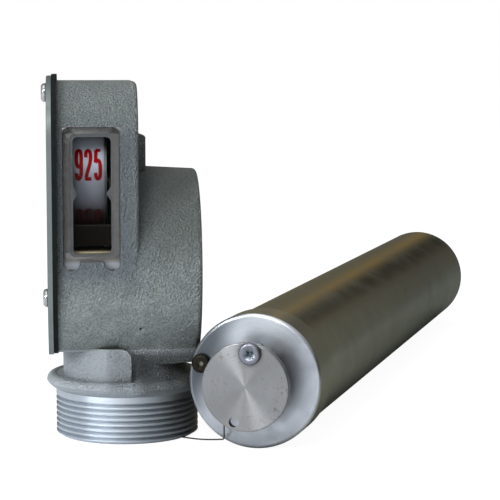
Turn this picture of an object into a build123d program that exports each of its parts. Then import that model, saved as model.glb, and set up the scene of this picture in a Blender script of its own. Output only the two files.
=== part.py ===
from build123d import *
import math
import os

# Float level gauge for a storage tank: a cast head that screws into the tank's top socket, with a
# numbered tape behind a window, and a long cylindrical float on a thin steel wire.
# Millimetres, Z up. The origin is on the axis of the tank thread, in the plane of its lower rim,
# which stands on the floor. X runs from the cover plate to the round spring boss, -Y is the front.

# Tank thread and stub: a parallel pipe thread of nominal size 2
thread_radius = 29.807
thread_pitch = 2.309
thread_depth = 1.479
thread_flank = 27.5
thread_grooves = 7
rim_height = 1.2
rim_step = 1.9
thread_land = 2.3
stub_bore_radius = 24.5
stub_bore_depth = 24.0
collar_radius = 33.6
collar_belly = 3.1
collar_under_bulge = 0.4
collar_over_bulge = 1.5
collar_height = 5.9
collar_crease_radius = 29.4
neck_radius = 24.0
neck_flare = 4.5
neck_flare_hollow = 0.8
foot_half_depth = 29.5
foot_side_corner = 24.0
foot_left = -26.7
foot_right = 0.9
foot_top = 39.4
foot_corner = 4.4
keel_bottom = 31.2
keel_angle = 52.0

# Case and spring boss, cast in one piece with the stub
spindle_z = 71.0
boss_radius = 41.3
boss_left = -4.0
boss_length = 25.4
boss_draft = 3.0
boss_edge = 2.0
boss_wall = 3.5
case_left = -28.4
case_right = 4.0
case_top = 147.6
case_floor = 38.0
case_corner = 22.0
case_edge = 2.0
case_wall = 4.5
case_back = 3.0
pad_height = 3.9
pad_taper = 20.0
pad_half_width = 12.0
pad_bottom = 110.0
pad_top = 126.0

# Window in the front of the case; heights are above and below the reel's axis
recess_left = -26.1
recess_right = -3.4
recess_below = 29.7
recess_above = 23.6
recess_corner = 2.6
recess_depth = 3.3
leg_width = 6.6
leg_below = 33.2
window_left = -22.0
window_right = -6.9
window_below = 26.8
window_above = 19.7
window_corner = 2.0
nub_below = 2.8
nub_half_height = 2.9
nub_reach = 1.9
nub_tip = 0.7
pane_thickness = 2.5
pane_gap = 0.3
pane_below = 28.8
sealant_thickness = 0.3
sealant_margin = 1.2

# Cover on the open left side of the case
gasket_thickness = 1.9
gasket_margin = 1.9
gasket_floor_margin = 0.2
gasket_rise = 0.8
cover_thickness = 2.0
cover_margin = 2.0
cover_floor_margin = 0.5
cover_screw_radius = 2.0
cover_screw_head = 3.85
cover_screw_head_height = 2.5
cover_screw_dome = 1.5
cover_screw_length = 12.0
cover_screw_clearance = 0.25
upper_screw_drop = 4.9
lower_screw_rise = 19.0
screw_post_radius = 4.5
screw_post_length = 16.0

# Clearances
running = 0.05
seat = 0.02
match = 0.01

# Frame plates that carry the reel, the tape spool and the inner end of the drum shaft
plate_thickness = 1.5
plate_inset = 1.5
left_plate_x = -26.0
right_plate_x = -6.5
pillar_radius = 2.5
frame_screw_radius = 1.5
frame_screw_head = 2.75
frame_screw_head_height = 2.0
frame_screw_bite = 5.0
pillar_pad_radius = 5.5
upper_pillar_inset = 17.3
upper_pillar_drop = 15.1
lower_pillar_inset = 8.65
lower_pillar_angle = 40.0
window_pillar_inset = 13.3
window_pillar_below = 27.8
bush_wall = 1.5
bush_collar = 0.7
bush_collar_reach = 1.0

# Wire drum, its gear and the spring motor, all on the drum shaft
turn_length = 100.0
wire_diameter = 0.6
wire_lead_x = 3.0
drum_shaft_radius = 3.0
drum_left = 0.0
drum_width = 12.0
drum_rim = 2.0
drum_flange = 2.8
drum_flange_width = 1.0
drum_hub_radius = 6.0
gear_module = 1.0
drum_teeth = 28
reel_teeth = 44
pressure_angle = 20.0
gear_dedendum = 1.25
tooth_play = 0.1
gear_x = -4.0
gear_width = 2.5
gear_holes = 5
gear_hole_place = 0.59
gear_hole_share = 0.2
barrel_left = 13.0
barrel_width = 9.4
barrel_gap = 4.8
barrel_wall = 1.2
barrel_bore_gap = 1.0
arbor_radius = 4.5
spring_strip = 0.5
spring_turns = 6
spring_points = 20
spring_play = 0.3
barrel_screw_inset = 5.0
barrel_screw_count = 3
barrel_screw_radius = 1.5
barrel_screw_head = 2.75
barrel_screw_bite = 3.0
barrel_post_radius = 4.0
end_hub_radius = 9.0
end_bush_radius = 5.0
end_bush_bite = 1.0

# Scale reel with its printed tape, and the spool that takes up the tape's other end
tape_width = 13.0
tape_left = -22.4
tape_thickness = 0.15
reel_tape_radius = 25.0
reel_core_radius = 24.05
reel_rim = 1.2
reel_flange_radius = 26.2
reel_flange_width = 0.8
reel_shaft_radius = 2.5
reel_hub_radius = 5.0
reel_holes = 5
reel_hole_share = 0.33
reel_gap = 2.6
spool_inset = 17.8
spool_below = 30.6
spool_core_radius = 8.0
spool_tape_radius = 8.3
spool_flange_radius = 11.6
spool_shaft_radius = 2.0
tape_clearance = 0.06
guard_inset = 9.8
guard_thickness = 1.0
guard_below = 24.1
guard_height = 8.3

# Wire guide in the floor of the case
guide_radius = 6.0
guide_bore = 2.5
guide_flange_radius = 9.0
guide_flange = 2.0
guide_proud = 0.9
guide_mouth = 1.2
guide_lead = 4.0
notch_angle = -38.9
notch_width = 1.6
notch_height = 1.3
exit_radius = 29.4
exit_height = 0.45

# Free wire: the share of a run that each bend may take
bend_share = 0.45

# Float, lying on the floor beside the head
float_x = 49.8
float_y = -41.5
float_yaw = 20.7
float_length = 384.0
tube_radius = 26.5
tube_wall = 1.0
flange_radius = 27.5
flange_length = 18.0
flange_edge = 1.5
spigot_length = 8.0
end_cap_thickness = 3.0
end_cap_edge = 1.0
hub_radius = 9.4
spool_gap = 11.5
disc_radius = 17.8
disc_thickness = 3.0
disc_edge = 0.4
winding_radius = 10.4
winding_width = 2.4
lock_screw_circle = 13.9
lock_screw_angle = 81.0
lock_screw_radius = 2.0
lock_screw_head = 4.5
lock_screw_head_height = 2.4
lock_screw_dome = 1.2
lock_screw_bite = 6.0
wire_hole_circle = 14.8
wire_hole_angle = 252.2
wire_hole_radius = 2.1
plug_circle = 23.0
plug_angle = 163.4
plug_radius = 2.0
plug_head = 3.9
plug_head_height = 2.2
plug_dome = 1.2
plug_bite = 5.0

# The wire's free stretch: distances across, up and forward of the middle of the float's face
kink = (-11.1, -23.2, 5.0)
rise = [(-11.1, -20.3, 5.3), (-11.0, -14.8, 5.65), (-10.9, -8.2, 5.75), (-10.75, -1.6, 5.75)]
crossing = [(25.7, -20.8, 0.45), (29.2, -25.8, 1.0), (33.0, -32.4, 2.2), (36.0, -38.2, 3.45)]

# Places that follow from the sizes above
thread_top = rim_height + thread_grooves * thread_pitch
land_top = thread_top + thread_land
boss_start = case_right - case_edge
boss_right = case_right + boss_length
front_y = -boss_radius
inner_front_y = front_y + case_wall
recess_y = front_y + recess_depth
cavity_right = case_right - case_back
boss_inner_right = boss_right - case_back
cover_right = case_left - gasket_thickness
cover_left = cover_right - cover_thickness
drum_radius = turn_length / (2 * math.pi) - wire_diameter / 2
gear_distance = gear_module * (drum_teeth + reel_teeth) / 2
reel_y = inner_front_y + reel_flange_radius + reel_gap
reel_z = spindle_z + math.sqrt(gear_distance**2 - reel_y**2)
recess_bottom = reel_z - recess_below
recess_top = reel_z + recess_above
leg_bottom = reel_z - leg_below
window_bottom = reel_z - window_below
window_top = reel_z + window_above
nub_z = reel_z - nub_below
pane_bottom = reel_z - pane_below
guard_y = guard_inset - boss_radius
guard_bottom = reel_z - guard_below
guard_top = guard_bottom + guard_height
spool_y = boss_radius - spool_inset
spool_z = reel_z - spool_below
tape_right = tape_left + tape_width
barrel_right = barrel_left + barrel_width
barrel_radius = boss_radius - boss_wall - barrel_gap
barrel_bore = arbor_radius + barrel_bore_gap
barrel_screw_circle = barrel_radius - barrel_screw_inset
guide_top = case_floor + case_wall + guide_proud
pillar_left = left_plate_x + plate_thickness
pad_left = right_plate_x + plate_thickness
notch_turn = math.radians(notch_angle)
notch_way = Vector(math.cos(notch_turn), math.sin(notch_turn), 0)
notch_side = Vector(-math.sin(notch_turn), math.cos(notch_turn), 0)
upper_pillar_y = boss_radius - upper_pillar_inset
upper_pillar_z = case_top - upper_pillar_drop
lower_pillar_turn = math.radians(lower_pillar_angle)
lower_pillar_y = (boss_radius - lower_pillar_inset) * math.cos(lower_pillar_turn)
lower_pillar_z = spindle_z - (boss_radius - lower_pillar_inset) * math.sin(lower_pillar_turn)
pillar_places = [
    (-upper_pillar_y, upper_pillar_z),
    (upper_pillar_y, upper_pillar_z),
    (-lower_pillar_y, lower_pillar_z),
    (lower_pillar_y, lower_pillar_z),
]
window_pillar_y = window_pillar_inset - boss_radius
window_pillar_z = reel_z - window_pillar_below
float_turn = math.radians(float_yaw)
float_dip = math.asin((flange_radius - tube_radius) / float_length)
float_face = Vector(float_x, float_y, flange_radius)
float_side = Vector(math.cos(float_turn), -math.sin(float_turn), 0)
float_axis = Vector(
    math.sin(float_turn) * math.cos(float_dip),
    math.cos(float_turn) * math.cos(float_dip),
    -math.sin(float_dip),
)
float_up = float_side.cross(float_axis)
float_line = Axis(float_face, float_axis)
upper_screw_z = case_top - upper_screw_drop
lower_screw_z = case_floor + lower_screw_rise
cover_screw_places = [(0, upper_screw_z), (0, lower_screw_z)]


def across(x):
    """The plane square to X at x, whose own axes are the part's Y and Z."""
    return Plane.YZ.offset(x)


def case_outline(inset, floor_inset=None, rise=0.0, mode=Mode.ADD):
    """The case seen along X: flat front and back, round foot about the spindle, cut off level."""
    radius = boss_radius - inset
    top = case_top - inset + rise
    floor = case_floor + (inset if floor_inset is None else floor_inset)
    corner = case_corner - inset
    middle = spindle_z + rise
    turn = math.degrees(math.asin((middle - floor) / radius))
    with BuildLine() as outline:
        near = CenterArc((0, middle), radius, 180, turn)
        far = CenterArc((0, middle), radius, -turn, turn)
        Line(near @ 1, far @ 0)
        Line((radius, middle), (radius, top - corner))
        CenterArc((radius - corner, top - corner), corner, 0, 90)
        Line((radius - corner, top), (corner - radius, top))
        CenterArc((corner - radius, top - corner), corner, 90, 90)
        Line((-radius, top - corner), (-radius, middle))
    make_face(outline.edges(), mode=mode)


def post_outline(margin=0.0, mode=Mode.ADD):
    """The posts of the two cover screws, the lower one on a rib that stands on the floor."""
    radius = screw_post_radius + margin
    with Locations(*cover_screw_places):
        Circle(radius, mode=mode)
    with Locations((0, (case_floor + lower_screw_z) / 2)):
        Rectangle(2 * radius, lower_screw_z - case_floor, mode=mode)


def keel_outline():
    """The keel seen along X: its sides leave the boss's round without a crease."""
    turn = math.radians(keel_angle)
    side_y = boss_radius * math.sin(turn)
    side_z = spindle_z - boss_radius * math.cos(turn)
    bottom_y = side_y - (side_z - keel_bottom) / math.tan(turn)
    with BuildLine() as outline:
        Polyline(
            (-side_y, side_z),
            (-bottom_y, keel_bottom),
            (bottom_y, keel_bottom),
            (side_y, side_z),
            close=True,
        )
    make_face(outline.edges())


def window_outline():
    """The opening behind the pane, with a pointed reading mark reaching in from each side."""
    with BuildLine() as outline:
        Polyline(
            (window_left, window_bottom),
            (window_left, nub_z - nub_half_height),
            (window_left + nub_reach, nub_z),
            (window_left, nub_z + nub_half_height),
            (window_left, window_top),
            (window_right, window_top),
            (window_right, nub_z + nub_half_height),
            (window_right - nub_reach, nub_z),
            (window_right, nub_z - nub_half_height),
            (window_right, window_bottom),
            close=True,
        )
    make_face(outline.edges())
    rows = vertices().group_by(Axis.Y)
    fillet(rows[0] + rows[-1], window_corner)
    marks = vertices().filter_by(lambda v: abs(v.Y - nub_z) < nub_half_height + match)
    fillet(marks, nub_tip)


def pane_outline():
    """The pane, which drops into the recess with a small gap all round."""
    left = recess_left + pane_gap
    right = recess_right - pane_gap
    top = recess_top - pane_gap
    with Locations(((left + right) / 2, (pane_bottom + top) / 2)):
        RectangleRounded(right - left, top - pane_bottom, recess_corner - pane_gap)


def gear_outline(teeth, first_angle):
    """A spur gear's outline with involute flanks, one tooth centred on first_angle."""
    pitch_radius = gear_module * teeth / 2
    base_radius = pitch_radius * math.cos(math.radians(pressure_angle))
    tip = pitch_radius + gear_module
    root = pitch_radius - gear_dedendum * gear_module
    start = math.tan(math.radians(pressure_angle)) - math.radians(pressure_angle)
    half = (math.pi * gear_module / 2 - tooth_play) / (2 * pitch_radius)
    heights = [max(root, base_radius), pitch_radius, tip]
    flank = []
    for height in heights:
        roll = math.acos(min(1.0, base_radius / height))
        flank.append((height, half + start - (math.tan(roll) - roll)))
    if root < base_radius:
        flank = [(root, flank[0][1])] + flank
    points = []
    for tooth in range(teeth):
        middle = math.radians(first_angle) + 2 * math.pi * tooth / teeth
        for radius, spread in flank:
            points.append((radius * math.cos(middle - spread), radius * math.sin(middle - spread)))
        for radius, spread in reversed(flank):
            points.append((radius * math.cos(middle + spread), radius * math.sin(middle + spread)))
    return points


def turned(points, y, z):
    """Adds a solid turned about a shaft along X at y and z, from its (x, radius) points."""
    with BuildSketch(Plane(origin=(0, y, z), x_dir=(1, 0, 0), z_dir=(0, -1, 0))) as half:
        with BuildLine() as outline:
            Polyline(*points, close=True)
        make_face(outline.edges())
    revolve(half.sketch, axis=Axis((0, y, z), (1, 0, 0)))


def float_turned(points):
    """Adds a solid turned about the float's axis, from its (distance behind the face, radius) points."""
    with BuildSketch(Plane(origin=float_face, x_dir=float_axis, z_dir=float_side)) as half:
        with BuildLine() as outline:
            Polyline(*points, close=True)
        make_face(outline.edges())
    revolve(half.sketch, axis=float_line)


def float_plane(behind):
    """The plane square to the float's axis, so far behind its face, with its own Y downwards."""
    return Plane(origin=float_face + float_axis * behind, x_dir=float_side, z_dir=float_axis)


def on_face(circle, angle):
    """A place on the float's face, at an angle from its right side over the top."""
    turn = math.radians(angle)
    return (circle * math.cos(turn), -circle * math.sin(turn))


def by_float(across_face, up, forward):
    """A point given from the middle of the float's face: across it, up and forward of it."""
    return float_face + float_side * across_face + float_up * up - float_axis * forward


def ring(outer, inner, y, z, left, right):
    """Adds a plain ring on a shaft along X."""
    turned([(left, inner), (right, inner), (right, outer), (left, outer)], y, z)


def bush(plate_x, bore, collar_on_right, y, z):
    """Adds a collared bush pressed into a frame plate."""
    body = bore + bush_wall
    right = plate_x + plate_thickness
    if collar_on_right:
        edge = (right, right + bush_collar)
    else:
        edge = (plate_x - bush_collar, plate_x)
    ring(body - seat, bore + running, y, z, plate_x, right)
    ring(body + bush_collar_reach, bore + running, y, z, *edge)


def plate_holes(with_drum):
    """Cuts the holes that a frame plate needs out of the sketch."""
    with Locations(*pillar_places, (window_pillar_y, window_pillar_z)):
        Circle(frame_screw_radius + seat, mode=Mode.SUBTRACT)
    with Locations((reel_y, reel_z)):
        Circle(reel_shaft_radius + bush_wall, mode=Mode.SUBTRACT)
    with Locations((spool_y, spool_z)):
        Circle(spool_shaft_radius + bush_wall, mode=Mode.SUBTRACT)
    if with_drum:
        with Locations((0, spindle_z)):
            Circle(drum_shaft_radius + bush_wall, mode=Mode.SUBTRACT)


def route(points):
    """A path of straight runs and tangent arcs, each arc as large as its two runs allow."""
    radii = []
    for before, here, after in zip(points, points[1:], points[2:]):
        incoming = here - before
        outgoing = after - here
        half_turn = math.radians(incoming.get_angle(outgoing)) / 2
        shorter = min(incoming.length, outgoing.length)
        radii.append(bend_share * shorter / math.tan(half_turn))
    return radii


def save(part, name):
    """Labels a finished piece and writes it."""
    part.label = name
    export_step(part, "parts/" + name + ".step")


os.makedirs("parts", exist_ok=True)

# Housing: stub, collar, foot, case and boss are one casting
with BuildPart() as gauge_housing:
    with BuildSketch(across(case_left)):
        case_outline(0)
    extrude(amount=case_right - case_left)
    fillet(faces().sort_by(Axis.X)[-1].edges(), case_edge)
    with BuildSketch(Plane.XZ):
        with BuildLine():
            groove = thread_depth * math.tan(math.radians(thread_flank))
            edge = [(0, 0), (thread_radius - rim_step, 0), (thread_radius, rim_height)]
            for turn in range(thread_grooves):
                middle = rim_height + (turn + 0.5) * thread_pitch
                edge.append((thread_radius, middle - groove))
                edge.append((thread_radius - thread_depth, middle))
                edge.append((thread_radius, middle + groove))
            edge.append((thread_radius, land_top))
            Polyline(*edge)
            widest = (collar_radius, land_top + collar_belly)
            crease = (collar_crease_radius, land_top + collar_height)
            flare_top = (neck_radius, land_top + collar_height + neck_flare)
            SagittaArc((thread_radius, land_top), widest, -collar_under_bulge)
            SagittaArc(widest, crease, -collar_over_bulge)
            SagittaArc(crease, flare_top, neck_flare_hollow)
            Polyline(
                flare_top,
                (neck_radius, case_floor + case_wall),
                (0, case_floor + case_wall),
                (0, 0),
            )
        make_face()
    revolve(axis=Axis.Z)
    # Spring boss, flush with the round foot of the case
    with BuildSketch(Plane.XZ):
        with BuildLine():
            end_radius = boss_radius - boss_length * math.tan(math.radians(boss_draft))
            Polyline(
                (boss_start, spindle_z),
                (boss_start, spindle_z + boss_radius),
                (case_right, spindle_z + boss_radius),
                (boss_right, spindle_z + end_radius),
                (boss_right, spindle_z),
                close=True,
            )
        make_face()
        fillet(vertices().group_by(Axis.X)[-1].sort_by(Axis.Y)[-1], boss_edge)
    revolve(axis=Axis((0, 0, spindle_z), (1, 0, 0)))
    # Flat-bottomed keel under the boss, over the neck
    with BuildSketch(across(boss_left)):
        keel_outline()
    extrude(amount=case_right - boss_left)
    with BuildSketch(across(case_right)):
        keel_outline()
    extrude(amount=boss_length - boss_edge, taper=boss_draft)
    # Foot block between the collar and the case
    foot_bottom = land_top + collar_belly
    with BuildSketch(Plane.XZ.offset(-foot_half_depth)):
        with Locations(((foot_left + foot_right) / 2, (foot_bottom + foot_top) / 2)):
            Rectangle(foot_right - foot_left, foot_top - foot_bottom)
        fillet(vertices().group_by(Axis.X)[-1].sort_by(Axis.Y)[-1], foot_corner)
    foot = extrude(amount=2 * foot_half_depth, mode=Mode.PRIVATE)
    with BuildSketch(Plane.XY):
        with Locations(((foot_left + foot_right) / 2, 0)):
            Rectangle(foot_right - foot_left, 2 * foot_half_depth)
        fillet(vertices().group_by(Axis.X)[0], foot_side_corner)
    foot_plan = extrude(amount=foot_top, mode=Mode.PRIVATE)
    add(foot & foot_plan)
    # Cable lug above the boss
    with BuildSketch(across(case_right)):
        with Locations((0, (pad_bottom + pad_top) / 2)):
            Rectangle(2 * pad_half_width, pad_top - pad_bottom)
    extrude(amount=pad_height, taper=pad_taper)
    # Inside of the case and of the boss
    with BuildSketch(across(case_left)):
        case_outline(case_wall)
    extrude(amount=cavity_right - case_left, mode=Mode.SUBTRACT)
    with BuildSketch(across(cavity_right)):
        with Locations((0, spindle_z)):
            Circle(boss_radius - boss_wall)
    extrude(amount=boss_inner_right - cavity_right, mode=Mode.SUBTRACT)
    with BuildSketch(Plane.XY):
        Circle(stub_bore_radius)
    extrude(amount=stub_bore_depth, mode=Mode.SUBTRACT)
    # Posts for the cover screws, and pads for the frame
    with BuildSketch(across(case_left)):
        post_outline()
    extrude(amount=screw_post_length)
    with BuildSketch(across(pad_left)):
        with Locations(*pillar_places):
            Circle(pillar_pad_radius)
    extrude(amount=cavity_right - pad_left)
    # Seats for the spring barrel and the outer bush on the boss's end wall
    with BuildSketch(across(barrel_right)):
        with Locations((0, spindle_z)):
            Circle(end_hub_radius)
            with PolarLocations(barrel_screw_circle, barrel_screw_count, 90):
                Circle(barrel_post_radius)
    extrude(amount=boss_inner_right - barrel_right)
    # Screw holes and the bush's bore
    with BuildSketch(across(case_left)):
        with Locations(*cover_screw_places):
            Circle(cover_screw_radius + seat)
    extrude(amount=cover_screw_length, mode=Mode.SUBTRACT)
    with BuildSketch(across(pad_left)):
        with Locations(*pillar_places):
            Circle(frame_screw_radius + seat)
    extrude(amount=frame_screw_bite, mode=Mode.SUBTRACT)
    with BuildSketch(across(barrel_right)):
        with Locations((0, spindle_z)):
            with PolarLocations(barrel_screw_circle, barrel_screw_count, 90):
                Circle(barrel_screw_radius + seat)
    extrude(amount=barrel_screw_bite, mode=Mode.SUBTRACT)
    with BuildSketch(across(barrel_right)):
        with Locations((0, spindle_z)):
            Circle(end_bush_radius + seat)
    extrude(amount=boss_inner_right + end_bush_bite - barrel_right, mode=Mode.SUBTRACT)
    # Window recess with its two rounded legs, and the opening through the front wall
    with BuildSketch(Plane.XZ.offset(-front_y)):
        with Locations(((recess_left + recess_right) / 2, (recess_bottom + recess_top) / 2)):
            Rectangle(recess_right - recess_left, recess_top - recess_bottom)
        fillet(vertices().group_by(Axis.Y)[-1], recess_corner)
        leg_middle = leg_bottom + leg_width / 2
        leg_top = recess_bottom + leg_width / 2
        for leg_x in (recess_left + leg_width / 2, recess_right - leg_width / 2):
            with Locations((leg_x, (leg_middle + leg_top) / 2)):
                Rectangle(leg_width, leg_top - leg_middle)
            with Locations((leg_x, leg_middle)):
                Circle(leg_width / 2)
    extrude(amount=-recess_depth, mode=Mode.SUBTRACT)
    with BuildSketch(Plane.XZ.offset(-front_y)):
        window_outline()
    extrude(amount=-case_wall - window_corner, mode=Mode.SUBTRACT)
    # Hole for the wire guide, and the notch where the wire leaves under the rim
    with BuildSketch(Plane.XY):
        Circle(guide_radius + seat)
    extrude(amount=guide_top, mode=Mode.SUBTRACT)
    with BuildSketch(Plane(origin=(0, 0, 0), x_dir=notch_side, z_dir=notch_way)):
        with Locations((0, notch_height / 2 - notch_width / 4)):
            Rectangle(notch_width, notch_height - notch_width / 2)
        with Locations((0, notch_height - notch_width / 2)):
            Circle(notch_width / 2)
    extrude(amount=thread_radius + rim_step, mode=Mode.SUBTRACT)
save(gauge_housing.part, "gauge_housing")

# Window pane and the bead of sealant that holds it
with BuildPart() as pane_sealant:
    with BuildSketch(Plane.XZ.offset(-recess_y)):
        pane_outline()
        with Locations(((window_left + window_right) / 2, (window_bottom + window_top) / 2)):
            RectangleRounded(
                window_right - window_left + 2 * sealant_margin,
                window_top - window_bottom + 2 * sealant_margin,
                window_corner,
                mode=Mode.SUBTRACT,
            )
    extrude(amount=sealant_thickness)
save(pane_sealant.part, "pane_sealant")

with BuildPart() as window_pane:
    with BuildSketch(Plane.XZ.offset(sealant_thickness - recess_y)):
        pane_outline()
    extrude(amount=pane_thickness)
save(window_pane.part, "window_pane")

# Cover plate, its gasket and screws
with BuildPart() as cover_gasket:
    with BuildSketch(across(cover_right)):
        case_outline(-gasket_margin, -gasket_floor_margin, gasket_rise)
        case_outline(case_wall, mode=Mode.SUBTRACT)
        post_outline()
        with Locations(*cover_screw_places):
            Circle(cover_screw_radius + cover_screw_clearance, mode=Mode.SUBTRACT)
    extrude(amount=gasket_thickness)
save(cover_gasket.part, "cover_gasket")

with BuildPart() as cover_plate:
    with BuildSketch(across(cover_left)):
        case_outline(-cover_margin, -cover_floor_margin)
        with Locations(*cover_screw_places):
            Circle(cover_screw_radius + cover_screw_clearance, mode=Mode.SUBTRACT)
    extrude(amount=cover_thickness)
save(cover_plate.part, "cover_plate")

with BuildPart() as cover_screws:
    with BuildSketch(across(cover_left)):
        with Locations(*cover_screw_places):
            Circle(cover_screw_head)
    extrude(amount=-cover_screw_head_height)
    fillet(edges().group_by(Axis.X)[0], cover_screw_dome)
    with BuildSketch(across(cover_left)):
        with Locations(*cover_screw_places):
            Circle(cover_screw_radius)
    extrude(amount=cover_thickness + gasket_thickness + cover_screw_length - seat)
save(cover_screws.part, "cover_screws")

# Frame plates
with BuildPart() as outer_frame_plate:
    with BuildSketch(across(left_plate_x)):
        case_outline(case_wall + plate_inset)
        plate_holes(False)
        post_outline(plate_inset, mode=Mode.SUBTRACT)
    extrude(amount=plate_thickness)
save(outer_frame_plate.part, "outer_frame_plate")

with BuildPart() as inner_frame_plate:
    with BuildSketch(across(right_plate_x)):
        case_outline(case_wall + plate_inset)
        plate_holes(True)
    extrude(amount=plate_thickness)
save(inner_frame_plate.part, "inner_frame_plate")

with BuildPart() as frame_pillars:
    with BuildSketch(across(pillar_left)):
        with Locations(*pillar_places, (window_pillar_y, window_pillar_z)):
            Circle(pillar_radius)
        with Locations(*pillar_places):
            Circle(frame_screw_radius + seat, mode=Mode.SUBTRACT)
    extrude(amount=right_plate_x - pillar_left)
    # The window pillar is riveted into both plates
    with BuildSketch(across(left_plate_x)):
        with Locations((window_pillar_y, window_pillar_z)):
            Circle(frame_screw_radius)
    extrude(amount=right_plate_x + plate_thickness - left_plate_x)
save(frame_pillars.part, "frame_pillars")

with BuildPart() as frame_screws:
    with BuildSketch(across(left_plate_x)):
        with Locations(*pillar_places):
            Circle(frame_screw_head)
    extrude(amount=-frame_screw_head_height)
    with BuildSketch(across(left_plate_x)):
        with Locations(*pillar_places):
            Circle(frame_screw_radius)
    extrude(amount=pad_left + frame_screw_bite - seat - left_plate_x)
save(frame_screws.part, "frame_screws")

with BuildPart() as frame_bushes:
    bush(left_plate_x, reel_shaft_radius, True, reel_y, reel_z)
    bush(right_plate_x, reel_shaft_radius, False, reel_y, reel_z)
    bush(left_plate_x, spool_shaft_radius, True, spool_y, spool_z)
    bush(right_plate_x, spool_shaft_radius, False, spool_y, spool_z)
    bush(right_plate_x, drum_shaft_radius, True, 0, spindle_z)
save(frame_bushes.part, "frame_bushes")

with BuildPart() as end_bush:
    ring(
        end_bush_radius,
        drum_shaft_radius + running,
        0,
        spindle_z,
        barrel_right,
        boss_inner_right + end_bush_bite,
    )
save(end_bush.part, "end_bush")

# Dark sheet across the foot of the window, which hides where the tape leaves the reel
with BuildPart() as tape_guard:
    with BuildSketch(Plane.XZ.offset(-guard_y)):
        with Locations(((pillar_left + right_plate_x) / 2, (guard_bottom + guard_top) / 2)):
            Rectangle(right_plate_x - pillar_left, guard_top - guard_bottom)
    extrude(amount=-guard_thickness)
save(tape_guard.part, "tape_guard")

# Scale reel: shaft, reel, wound tape and gear
with BuildPart() as reel_shaft:
    turned(
        [
            (left_plate_x - running, 0),
            (left_plate_x - running, reel_shaft_radius),
            (gear_x + gear_width + running, reel_shaft_radius),
            (gear_x + gear_width + running, 0),
        ],
        reel_y,
        reel_z,
    )
save(reel_shaft.part, "reel_shaft")

hub_left = left_plate_x + plate_thickness + bush_collar + 2 * running
hub_right = right_plate_x - bush_collar - 2 * running
reel_left = tape_left - 2 * running - reel_flange_width
reel_right = tape_right + 2 * running + reel_flange_width
web_left = (tape_left + tape_right - reel_flange_width) / 2
web_right = web_left + reel_flange_width
rim_inner = reel_core_radius - reel_rim
bore = reel_shaft_radius + seat
with BuildPart() as scale_reel:
    turned(
        [
            (hub_left, bore),
            (hub_right, bore),
            (hub_right, reel_hub_radius),
            (web_right, reel_hub_radius),
            (web_right, rim_inner),
            (reel_right, rim_inner),
            (reel_right, reel_flange_radius),
            (reel_right - reel_flange_width, reel_flange_radius),
            (reel_right - reel_flange_width, reel_core_radius),
            (reel_left + reel_flange_width, reel_core_radius),
            (reel_left + reel_flange_width, reel_flange_radius),
            (reel_left, reel_flange_radius),
            (reel_left, rim_inner),
            (web_left, rim_inner),
            (web_left, reel_hub_radius),
            (hub_left, reel_hub_radius),
        ],
        reel_y,
        reel_z,
    )
    with BuildSketch(across(web_left)):
        with Locations((reel_y, reel_z)):
            with PolarLocations((rim_inner + reel_hub_radius) / 2, reel_holes):
                Circle((rim_inner - reel_hub_radius) * reel_hole_share)
    extrude(amount=reel_flange_width, mode=Mode.SUBTRACT)
save(scale_reel.part, "scale_reel")

with BuildPart() as scale_tape:
    ring(reel_tape_radius, reel_core_radius + seat, reel_y, reel_z, tape_left, tape_right)
save(scale_tape.part, "scale_tape")

centre_line = math.degrees(math.atan2(reel_z - spindle_z, reel_y))
with BuildPart() as reel_gear:
    with BuildSketch(across(gear_x)):
        with BuildLine():
            points = gear_outline(reel_teeth, centre_line + 180 + 180 / reel_teeth)
            Polyline(*[(reel_y + y, reel_z + z) for y, z in points], close=True)
        make_face()
        with Locations((reel_y, reel_z)):
            Circle(bore, mode=Mode.SUBTRACT)
            pitch_radius = reel_teeth * gear_module / 2
            with PolarLocations(pitch_radius * gear_hole_place, gear_holes):
                Circle(pitch_radius * gear_hole_share, mode=Mode.SUBTRACT)
    extrude(amount=gear_width)
save(reel_gear.part, "reel_gear")

# Spool that takes up the other end of the tape, and the tape's free stretch between the two
with BuildPart() as spool_shaft:
    turned(
        [
            (left_plate_x - running, 0),
            (left_plate_x - running, spool_shaft_radius),
            (pad_left + running, spool_shaft_radius),
            (pad_left + running, 0),
        ],
        spool_y,
        spool_z,
    )
save(spool_shaft.part, "spool_shaft")

spool_bore = spool_shaft_radius + seat
with BuildPart() as tape_spool:
    turned(
        [
            (hub_left, spool_bore),
            (hub_right, spool_bore),
            (hub_right, reel_hub_radius),
            (reel_right, reel_hub_radius),
            (reel_right, spool_flange_radius),
            (reel_right - reel_flange_width, spool_flange_radius),
            (reel_right - reel_flange_width, spool_core_radius),
            (reel_left + reel_flange_width, spool_core_radius),
            (reel_left + reel_flange_width, spool_flange_radius),
            (reel_left, spool_flange_radius),
            (reel_left, reel_hub_radius),
            (hub_left, reel_hub_radius),
        ],
        spool_y,
        spool_z,
    )
save(tape_spool.part, "tape_spool")

with BuildPart() as spool_tape:
    ring(spool_tape_radius, spool_core_radius + seat, spool_y, spool_z, tape_left, tape_right)
save(spool_tape.part, "spool_tape")

apart = math.hypot(reel_y - spool_y, reel_z - spool_z)
down_line = math.atan2(spool_z - reel_z, spool_y - reel_y)
lean = down_line - math.acos((reel_tape_radius - spool_tape_radius) / apart)
with BuildPart() as tape_span:
    with BuildSketch(across(tape_left)):
        with BuildLine():
            corners = []
            for extra in (tape_clearance, tape_clearance + tape_thickness):
                ends = []
                for y, z, radius in (
                    (reel_y, reel_z, reel_tape_radius),
                    (spool_y, spool_z, spool_tape_radius),
                ):
                    reach = radius + extra
                    ends.append((y + reach * math.cos(lean), z + reach * math.sin(lean)))
                corners.append(ends)
            Polyline(*corners[0], *reversed(corners[1]), close=True)
        make_face()
    extrude(amount=tape_width)
save(tape_span.part, "tape_span")

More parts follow.
